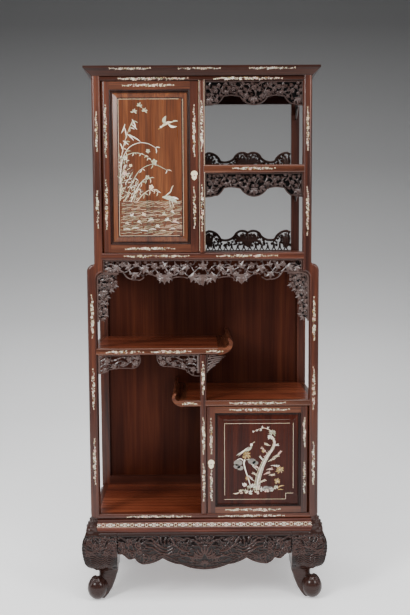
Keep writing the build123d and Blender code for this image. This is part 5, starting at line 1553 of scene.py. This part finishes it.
class Inlay:
    """Chips of shell let into the front faces of some nodes, drawn in millimetres as (x, z)."""

    def __init__(self, carriers, seed):
        verts, faces = [], []
        for name in carriers:
            mesh = nodes[name].data
            base = len(verts)
            verts += [
                (v.co.x / MM / drawn_stretch, v.co.y / MM, v.co.z / MM - drawn_lift) for v in mesh.vertices
            ]
            faces += [tuple(base + i for i in p.vertices) for p in mesh.polygons]
        self.faces_below = BVHTree.FromPolygons(verts, faces)
        self.draw = random.Random(seed)
        self.verts, self.faces, self.tones = [], [], []

    def depth(self, x, z, nearby=None, step=DEEPEST_STEP):
        hit = self.faces_below.ray_cast(Vector((x, FAR_BEFORE, z)), Vector((0, 1, 0)))[0]
        if nearby is not None and (hit is None or abs(hit.y - nearby) > step):
            return nearby
        return hit.y if hit else None

    def add(self, verts, faces, tone):
        base = len(self.verts)
        self.verts += verts
        self.faces += [tuple(base + i for i in face) for face in faces]
        self.tones += [tone + self.draw.uniform(-0.04, 0.04)] * len(verts)

    def chip(self, outline, tone):
        """A flat chip with a given outline; it is left out where nothing lies under its middle."""
        count = len(outline)
        middle = self.depth(sum(p[0] for p in outline) / count, sum(p[1] for p in outline) / count)
        if middle is None:
            return
        levels = [self.depth(x, z, middle) for x, z in outline]
        verts = [(x, y - CHIP_RISE, z) for (x, z), y in zip(outline, levels)]
        verts += [(x, y + CHIP_SINK, z) for (x, z), y in zip(outline, levels)]
        self.add(verts, capped(count), tone)

    def disc(self, x, z, radius, tone, stretch=1.0):
        self.chip(oval(x, z, radius, radius * stretch, 10), tone)

    def leaf(self, root, tip, width, tone, sag=0.12):
        """Lens-shaped leaf from its root to its tip, bent to one side by sag."""
        dx, dz = tip[0] - root[0], tip[1] - root[1]
        left, right = [], []
        for share in (0.0, 0.18, 0.42, 0.68, 0.88, 1.0):
            half = width / hypot(dx, dz) / 2 * sin(pi * (0.06 + 0.91 * share)) ** 0.9
            bow = sag * 4 * share * (1 - share)
            for side, swing in ((left, bow + half), (right, bow - half)):
                side.append((root[0] + dx * share - dz * swing, root[1] + dz * share + dx * swing))
        self.chip(left + right[::-1], tone)

    def leaves(self, *rows):
        """Single leaves, one for each row of a leaf's values."""
        for row in rows:
            self.leaf(*row)

    def flower(self, x, z, radius, tone, petals=5, eye=GOLD):
        turn = self.draw.uniform(0, tau)
        for k in range(petals):
            c, s = unit(turn + tau * k / petals)
            outline = []
            for u, v in oval(0, 0, 0.42 * radius, 0.36 * radius, 8):
                outline.append((x + c * (0.58 * radius + u) - s * v, z + s * (0.58 * radius + u) + c * v))
            self.chip(outline, tone)
        self.disc(x, z, radius * 0.19, eye)

    def ribbon(self, line, widths, tone):
        """Thin strip along a line; widths is one width, or the first and the last."""
        first, last = widths if isinstance(widths, tuple) else (widths, widths)
        line = [Vector(p[:2]) for p in line]
        verts, level = [], None
        for i, point in enumerate(line):
            across = across_at(line, i) * ((first + (last - first) * i / (len(line) - 1)) / 2)
            level = self.depth(point[0], point[1], level, 3 * DEEPEST_STEP)
            if level is None:
                return
            for side, lift in ((1, -CHIP_RISE), (-1, -CHIP_RISE), (-1, CHIP_SINK), (1, CHIP_SINK)):
                verts.append((point[0] + side * across[0], level + lift, point[1] + side * across[1]))
        self.add(verts, tube_faces(4, len(line)), tone)

    def string(self, first, last, width, tone, steps=12):
        """A straight string line, laid in short lengths that follow the wood."""
        self.ribbon(straight(first, last, steps), width, tone)

    def stem(self, points, widths, tone):
        self.ribbon(flowing([Vector(p) for p in points], 5), widths, tone)

    def tuft(self, x, z, reach, count, width, tone, heading=pi / 2, spread=pi):
        """Leaves that fan out from one point about a heading."""
        for k in range(count):
            angle = heading + spread * ((k + 0.5) / count - 0.5) + self.draw.uniform(-0.12, 0.12)
            length = reach * self.draw.uniform(0.75, 1.1)
            c, s = unit(angle)
            self.leaf(
                (x + c * reach * 0.12, z + s * reach * 0.12), (x + c * length, z + s * length), width, tone
            )

    def spray(self, begin, end, level, upright=False, width=12.5, tones=(CREAM, WHITE, ROSE)):
        """A slender branch along a rail or post: clusters of blossom and leaf, apart on a thin stem."""
        draw, length = self.draw, end - begin
        waves = max(1, round(length / 40))
        phase = draw.uniform(0, tau)

        def put(s, t):
            return (level + t, begin + s) if upright else (begin + s, level + t)

        def sway(s):
            return width * 0.14 * sin(tau * waves * s / length + phase)

        self.ribbon([put(s, sway(s)) for s in np.linspace(0, length, waves * 8 + 1)], 0.6, SMOKE)
        s = 2.5
        while s < length - 2:
            fullness = min(1.0, 0.42 + 2.4 * min(s, length - s) / length) * draw.uniform(0.72, 1.0)
            tone, half, kind = draw.choice(tones + (CREAM, WHITE)), width / 2 * fullness, draw.random()
            if kind < 0.34:
                self.flower(*put(s, sway(s)), half * 0.95, tone, eye=tone if half < 4 else SMOKE)
                self.disc(*put(s, sway(s)), half * 0.34, tone)
            elif kind < 0.62:
                self.disc(*put(s, sway(s)), half * draw.uniform(0.5, 0.72), tone, draw.uniform(0.7, 1.0))
            for turn in (-1, 1):
                for slope in (0.75, -0.7, 0.25):
                    if draw.random() < 0.3:
                        continue
                    reach = half * draw.uniform(0.9, 1.5)
                    root = put(s + turn * half * 0.2, sway(s) + slope * half * 0.3)
                    tip = put(s + turn * reach, max(-half, min(half, sway(s) + slope * half * 1.3)))
                    self.leaf(
                        root, tip, half * draw.uniform(0.26, 0.44),
                        draw.choice(tones + (CREAM, WHITE, JADE, GOLD))
                    )
            s += half * draw.uniform(1.5, 2.7)
        for s, turn in ((0, -1), (length, 1)):
            for slope in (-0.35, 0.35):
                self.leaf(put(s, sway(s)), put(s + turn * 6.0, sway(s) + slope * 6), 1.6, tones[0])

    def frame(self, left, right, low, high, width, tone):
        """A string line round a rectangle."""
        for z in (low, high):
            self.string((left, z), (right, z), width, tone)
        for x in (left, right):
            self.string((x, low), (x, high), width, tone, 16)

    def finish(self, name, body="root"):
        places = [(x * drawn_stretch * MM, y * MM, (z + drawn_lift) * MM) for x, y, z in self.verts]
        mesh = outward_mesh(name, places, self.faces)
        point_values(mesh, "tone", self.tones)
        dress(name, mesh, shell, (), body)


def rail_inlay():
    """Sprays along the rails of the case."""
    shelves = [f"{word}_shelf_rails" for word in ("display", "mid", "low")]
    inlay = Inlay(["cornice", "top_rails", "bottom_rails"] + shelves + ["sill_rails"], 3)
    for level, width, spans in (
        (1890, 8, ((-312, -180), (-76, 59), (167, 316))),
        (1860, 12, ((-285, -52), (45, 274))),
        (1244, 11, ((-272, -53), (53, 258))),
        (1550, 11, ((110, 250),)),
        (904, 12, ((-341, -216), (-181, -49), (15, 65))),
        (716, 11, ((-72, -29), (97, 287))),
        (302.5, 10, ((-274, -53), (56, 284))),
    ):
        for begin, end in spans:
            inlay.spray(begin, end, level, width=width)
    inlay.finish("inlay_rails")


def post_inlay():
    """Sprays up the front posts."""
    inlay = Inlay(["upper_post_front_left", "upper_post_front_right", "lower_post_front_left",
                   "lower_post_front_right", "centre_posts_upper", "centre_post_lower"], 4)
    for level, width, spans in (
        (-367, 12, ((1616, 1743), (1348, 1470))),
        (367, 12, ((1616, 1757), (1319, 1480))),
        (-1.5, 12, ((1614, 1779), (1336, 1489))),
        (-391.5, 13, ((959, 1105), (703, 840), (429, 587))),
        (391.5, 13, ((946, 1093), (697, 842), (422, 569))),
        (-1.5, 12, ((754, 863), (536, 660), (363, 492))),
    ):
        for begin, end in spans:
            inlay.spray(begin, end, level, True, width)
    for x in (-11.0, 7.5):
        inlay.string((x, 1262), (x, 1857), 0.9, CREAM, 60)
    inlay.finish("inlay_posts")


def band_inlay():
    """The chain of rings along the sloping face of the stand's frame."""
    inlay = Inlay(["stand_top_frame"], 5)
    half, level, pitch = 392, 274.5, 26.0
    count = int(half / pitch)
    for k in range(-count, count + 1):
        x = k * pitch
        radius, stretch = (8.6, 0.58) if k % 2 else (5.4, 0.94)
        ring = oval(x, level, radius, radius * stretch, 14, 1)
        inlay.ribbon(ring, 1.7, WHITE if k % 2 else CREAM)
        if k % 2:
            inlay.disc(x, level, 3.2, ROSE)
        if k < count:
            inlay.flower(x + pitch / 2, level, 4.2, WHITE, 4, ROSE)
    for z in (level - 7.2, level + 6.8):
        inlay.string((-half, z), (half, z), 0.7, ROSE, 60)
    inlay.finish("inlay_stand_band")


rail_inlay()
post_inlay()
band_inlay()


def door_sprays(inlay, rows, columns):
    """Sprays along the rails (rows) and the stiles (columns) of a door."""
    for level, begin, end in rows:
        inlay.spray(begin, end, level, width=12)
    for level, begin, end in columns:
        inlay.spray(begin, end, level, True, 12)


def reed(inlay, line, tone, leaves, droop, reach):
    """A bent reed with long leaves that hang from its upper end."""
    inlay.stem(line, (2.6, 1.2), tone)
    path = flowing([Vector(p) for p in line], 6)
    for k in range(leaves):
        at = path[int((len(path) - 1) * (0.35 + 0.65 * k / max(1, leaves - 1)))]
        for turn in (1, -1):
            c, s = unit(droop + turn * 0.75 + inlay.draw.uniform(-0.2, 0.2))
            length = reach * inlay.draw.uniform(0.6, 1.0)
            inlay.leaf(
                at, (at[0] + c * length, at[1] + s * length), 3.0, inlay.draw.choice((WHITE, CREAM, JADE))
            )


def upper_door_inlay():
    """A pond with reeds, water birds and lotus, in a string line."""
    inlay = Inlay(["upper_door_panel", "upper_door_stiles", "upper_door_rails"], 7)
    draw = inlay.draw
    inlay.frame(-291, -67, 1316.5, 1791.5, 1.0, CREAM)
    door_sprays(inlay, ((1838, -271, -101), (1271, -268, -103)), (
        (-336, 1595, 1767), (-336, 1344, 1508), (-28.5, 1597, 1766), (-28.5, 1346, 1482)))
    for x, z in ((-236, 1748), (-217, 1768), (-199, 1750)):
        inlay.tuft(x, z, 12, 5, 4.2, JADE, 1.2, 4.6)
        inlay.disc(x, z, 1.8, CREAM)
    # A bird on the wing
    inlay.leaf((-142, 1694), (-102, 1712), 10, CREAM)
    inlay.disc(-143, 1695, 3.6, WHITE)
    inlay.leaves(
        ((-145, 1694), (-154, 1687), 2.2, GOLD), ((-128, 1703), (-125, 1733), 13, JADE, 0.2),
        ((-118, 1706), (-88, 1697), 8, WHITE, -0.2), ((-106, 1711), (-84, 1715), 5, JADE),
    )
    # Reeds: two tall ones that bend to the right, and shorter ones below
    tallest = [(-288, 1500), (-280, 1575), (-257, 1622), (-222, 1640), (-190, 1638), (-163, 1624)]
    for line, *look in (
        (tallest, WHITE, 2, -0.7, 25),
        ([(-286, 1560), (-276, 1620), (-262, 1668), (-242, 1716)], CREAM, 5, -1.0, 22),
        ([(-270, 1440), (-246, 1500), (-218, 1545), (-172, 1566), (-124, 1546)], JADE, 4, -1.2, 18),
        ([(-250, 1436), (-230, 1480), (-205, 1512), (-184, 1518)], WHITE, 4, -0.9, 20),
        ([(-230, 1436), (-205, 1464), (-176, 1480), (-158, 1470)], CREAM, 4, -1.0, 20),
        ([(-288, 1440), (-284, 1500), (-274, 1560)], CREAM, 5, -0.6, 18),
        ([(-280, 1590), (-240, 1606), (-205, 1600), (-190, 1588)], JADE, 4, -1.3, 14)
    ):
        reed(inlay, line, *look)
    for x, z, size, tone in (
        (-189, 1612, 8, JADE), (-270, 1535, 8, ROSE), (-192, 1521, 8, JADE), (-179, 1487, 9, CREAM),
        (-268, 1588, 8, WHITE), (-250, 1562, 6, CREAM), (-168, 1574, 11, JADE)
    ):
        inlay.flower(x, z, size, tone)
    for root, tip in (
        ((-258, 1669), (-214, 1644)), ((-262, 1672), (-238, 1648)), ((-243, 1722), (-230, 1690)),
        ((-246, 1704), (-226, 1686)), ((-270, 1694), (-264, 1658)), ((-268, 1706), (-281, 1674)),
        ((-286, 1640), (-276, 1612)), ((-276, 1648), (-256, 1634))
    ):
        inlay.leaf(root, tip, 4.2, WHITE, 0.05)
    bank = [(-289, 1436), (-236, 1436), (-205, 1462), (-240, 1520), (-262, 1575), (-289, 1600)]
    for x, z in scattered(bank, 6.4, 1.0, draw, (), 4000):
        c, s = unit(draw.uniform(0.2, 2.6))
        inlay.leaf((x, z), (x + c * 13, z + s * 13), 2.6, draw.choice((WHITE, CREAM, JADE, SMOKE)))
    # Water, in broken wavy lines
    for row in range(26):
        z = 1437 - row * 4.6
        x = -288 + draw.uniform(0, 10)
        while x < -84:
            length = min(draw.uniform(28, 80), -72 - x)
            steps = max(3, int(length / 5))
            line = [
                (x + length * i / steps, z + 1.5 * sin(0.16 * (x + length * i / steps) + row))
                for i in range(steps + 1)
            ]
            inlay.ribbon(line, 1.0, draw.choice((SMOKE, JADE, CREAM)))
            x += length + draw.uniform(2, 8)
    # A heron at the right, and lotus on the water
    inlay.leaves(((-141, 1452), (-88, 1432), 16, JADE, 0.1), ((-118, 1446), (-84, 1444), 8, WHITE))
    inlay.stem([(-132, 1452), (-122, 1462), (-112, 1470), (-107, 1484)], (3.6, 2.2), WHITE)
    inlay.leaf((-107, 1482), (-101, 1492), 3, CREAM)
    inlay.stem([(-116, 1442), (-114, 1428), (-112, 1416)], (1.6, 1.2), WHITE)
    inlay.stem([(-108, 1440), (-104, 1426), (-100, 1418)], (1.6, 1.2), WHITE)
    for x, z, size, tone in (
        (-245, 1388, 11, WHITE), (-207, 1392, 10, CREAM), (-181, 1374, 12, JADE), (-121, 1372, 14, WHITE),
        (-95, 1366, 13, ROSE), (-134, 1394, 9, JADE), (-158, 1352, 8, CREAM), (-264, 1362, 8, JADE),
        (-222, 1366, 8, WHITE), (-106, 1402, 8, CREAM)
    ):
        inlay.tuft(x, z - 2, size, 4, size * 0.30, tone, draw.uniform(0.9, 2.2), 2.2)
        lean = draw.uniform(-5, 5)
        inlay.leaf(
            (x - size, z - 5 - lean), (x + size, z - 5 + lean), 3.4, draw.choice((JADE, CREAM, WHITE)), 0.14
        )
    for x, z in ((-266, 1338), (-236, 1342), (-205, 1334), (-176, 1338), (-140, 1333), (-106, 1338)):
        inlay.leaf(
            (x - 12, z), (x + 13, z + draw.uniform(-2, 2)), 3.2, draw.choice((CREAM, GOLD, WHITE)), 0.1
        )
    inlay.finish("inlay_upper_door", "upper_door")


def lower_door_inlay():
    """An old tree over rocks, with a perched bird, in a string line with a stepped corner."""
    inlay = Inlay(["lower_door_panel", "lower_door_stiles", "lower_door_rails"], 8)
    draw = inlay.draw
    line = ((73.5, 641), (320, 641), (320, 383), (293, 383), (293, 362), (73.5, 362), (73.5, 641))
    for a, b in zip(line, line[1:]):
        inlay.string(a, b, 1.0, CREAM)
    inlay.string((69.5, 654), (325.5, 654), 1.0, SMOKE)
    door_sprays(inlay, ((691.5, 97, 301), (324, 81, 269)), (
        (25.5, 536, 656), (25.5, 363, 466), (359.5, 559, 657), (359.5, 389, 493)))
    trunk = [(188, 396), (194, 440), (208, 484), (226, 520), (244, 546), (252, 570), (243, 594)]
    for shift, widths, tone in ((0, (3.6, 1.8), WHITE), (-5.5, (2.2, 1.0), JADE), (5.5, (2.4, 1.0), CREAM),
                                (10, (1.4, 0.8), WHITE), (-10, (1.4, 0.8), CREAM)):
        inlay.stem([(x + shift * (1 - k / 8), z) for k, (x, z) in enumerate(trunk)], widths, tone)
    for k in range(46):
        x, z = flowing([Vector(p) for p in trunk], 8)[k]
        c, s = unit(draw.choice((0.9, 2.1, 0.4, 2.6)) + draw.uniform(-0.3, 0.3))
        reach = draw.uniform(9, 17) * (1 - k / 80)
        inlay.leaf(
            (x + 3 * c, z + 3 * s), (x + reach * c, z + reach * s), 1.7,
            draw.choice((WHITE, JADE, CREAM, ROSE))
        )
    for x, z, reach, count, tone in (
        (245, 606, 15, 9, JADE), (236, 590, 10, 7, WHITE), (152, 523, 17, 11, GOLD),
        (272, 470, 16, 10, GOLD), (263, 427, 13, 8, GOLD), (157, 440, 10, 7, GOLD)
    ):
        inlay.tuft(x, z, reach, count, 3.8, tone, pi / 2, 5.6)
        inlay.tuft(x, z, reach * 0.55, count - 3, 3.4, tone, pi / 2, 5.6)
        inlay.disc(x, z, 2.4, CREAM)
    inlay.stem([(243, 612), (228, 620), (213, 624), (192, 618), (177, 610)], (2.2, 1.0), CREAM)
    for x, z, heading in (
        (228, 620, 1.2), (213, 624, 2.2), (195, 619, 3.6), (206, 622, -2.2), (181, 612, 3.2)
    ):
        inlay.tuft(x, z, 10, 2, 2.4, WHITE, heading, 0.9)
    # The bird: white head and long white tail, over the golden leaves that it sits on
    inlay.disc(170, 563, 5.0, WHITE)
    inlay.leaves(
        ((173, 566), (184, 574), 2.0, CREAM), ((172, 561), (146, 540), 9, JADE, 0.15),
        ((160, 555), (116, 524), 3.4, WHITE, 0.02), ((158, 549), (122, 520), 2.4, CREAM, -0.03),
    )
    # Dark rocks at the left, the pale stump between them, and the foot of the scene
    for x, z, size in (
        (122, 497, 16), (118, 484, 13), (130, 478, 12), (172, 502, 15), (184, 496, 11), (222, 402, 13),
        (238, 400, 12)
    ):
        inlay.disc(x, z, size, SMOKE, 0.72)
    inlay.stem([(146, 508), (143, 495), (149, 468), (158, 440), (166, 412)], (5.6, 2.6), WHITE)
    inlay.stem([(140, 506), (130, 512), (118, 508)], (3.2, 1.6), WHITE)
    inlay.stem([(152, 508), (166, 510), (178, 506)], (3.0, 1.4), JADE)
    for x, z, reach, tone in (
        (145, 415, 12, WHITE), (160, 404, 13, JADE), (176, 410, 14, WHITE), (192, 404, 14, CREAM),
        (208, 396, 13, WHITE), (225, 392, 12, ROSE), (243, 396, 11, WHITE), (258, 404, 12, CREAM),
        (150, 390, 12, CREAM), (168, 386, 12, WHITE), (188, 385, 14, ROSE), (132, 388, 11, ROSE)
    ):
        for k in range(4):
            c, s = unit(draw.uniform(0, tau))
            inlay.disc(x + c * reach * 0.4, z + s * reach * 0.3, reach * draw.uniform(0.22, 0.34), tone, 0.7)
        inlay.tuft(x, z, reach, 3, 3.0, draw.choice((JADE, CREAM, WHITE)), pi / 2, 2.2)
    inlay.leaves(
        ((128, 389), (104, 384), 4, CREAM), ((262, 402), (288, 412), 4, GOLD),
        ((264, 396), (284, 396), 3, GOLD)
    )
    # Twigs with leaves on both sides of the tree
    for x, z, heading in (
        (230, 500, 0.5), (246, 516, 0.3), (262, 520, 0.9), (240, 486, -0.1), (224, 470, 0.2),
        (214, 452, 0.4), (206, 470, 2.5), (218, 500, 2.3), (198, 446, 2.6), (228, 532, 2.4), (246, 560, 0.1),
        (238, 560, 2.8), (190, 470, 2.2), (232, 450, 0.1), (196, 420, 0.5), (180, 430, 2.4)
    ):
        c, s = unit(heading)
        reach = draw.uniform(16, 26)
        tone = draw.choice((ROSE, ROSE, WHITE, CREAM))
        bend = (x + c * reach * 0.5 - s * 2, z + s * reach * 0.5 + c * 2)
        inlay.stem([(x, z), bend, (x + c * reach, z + s * reach)], (1.5, 0.9), tone)
        for share in (0.35, 0.65, 0.95):
            inlay.tuft(x + c * reach * share, z + s * reach * share, 9, 2, 2.3, tone, heading, 1.6)
    inlay.flower(213, 540, 6.5, GOLD)
    inlay.finish("inlay_lower_door", "lower_door")


upper_door_inlay()
lower_door_inlay()


def beading(name, body, rectangles):
    """Rounded mouldings round the panel of a door: (left, right, low, high, radius, depth of the middle)."""
    carving = Carving(front_of(0))
    for left, right, low, high, radius, y in rectangles:
        left, right = left * drawn_stretch, right * drawn_stretch
        low, high = low + drawn_lift, high + drawn_lift
        corners = [(left, y, low), (right, y, low), (right, y, high), (left, y, high)]
        for a, b in zip(corners, corners[1:] + corners[:1]):
            carving.rod([a, b], radius, 1.0, 12)
    carving.finish(name, wood_moulding, (), body, "rosewood_door_panel")


beading("upper_door_beading", "upper_door", [
    (-320, -44.5, 1287.5, 1821.5, 2.8, -198.2), (-314, -50.5, 1293.5, 1815.5, 1.6, -195.5),
    (-293.5, -70.5, 1314, 1795, 1.8, -197.6),
])
beading(
    "lower_door_beading", "lower_door",
    [(41.5, 343.5, 337.5, 678.5, 2.4, -198.4), (46, 339, 342, 674, 1.4, -196.2)]
)
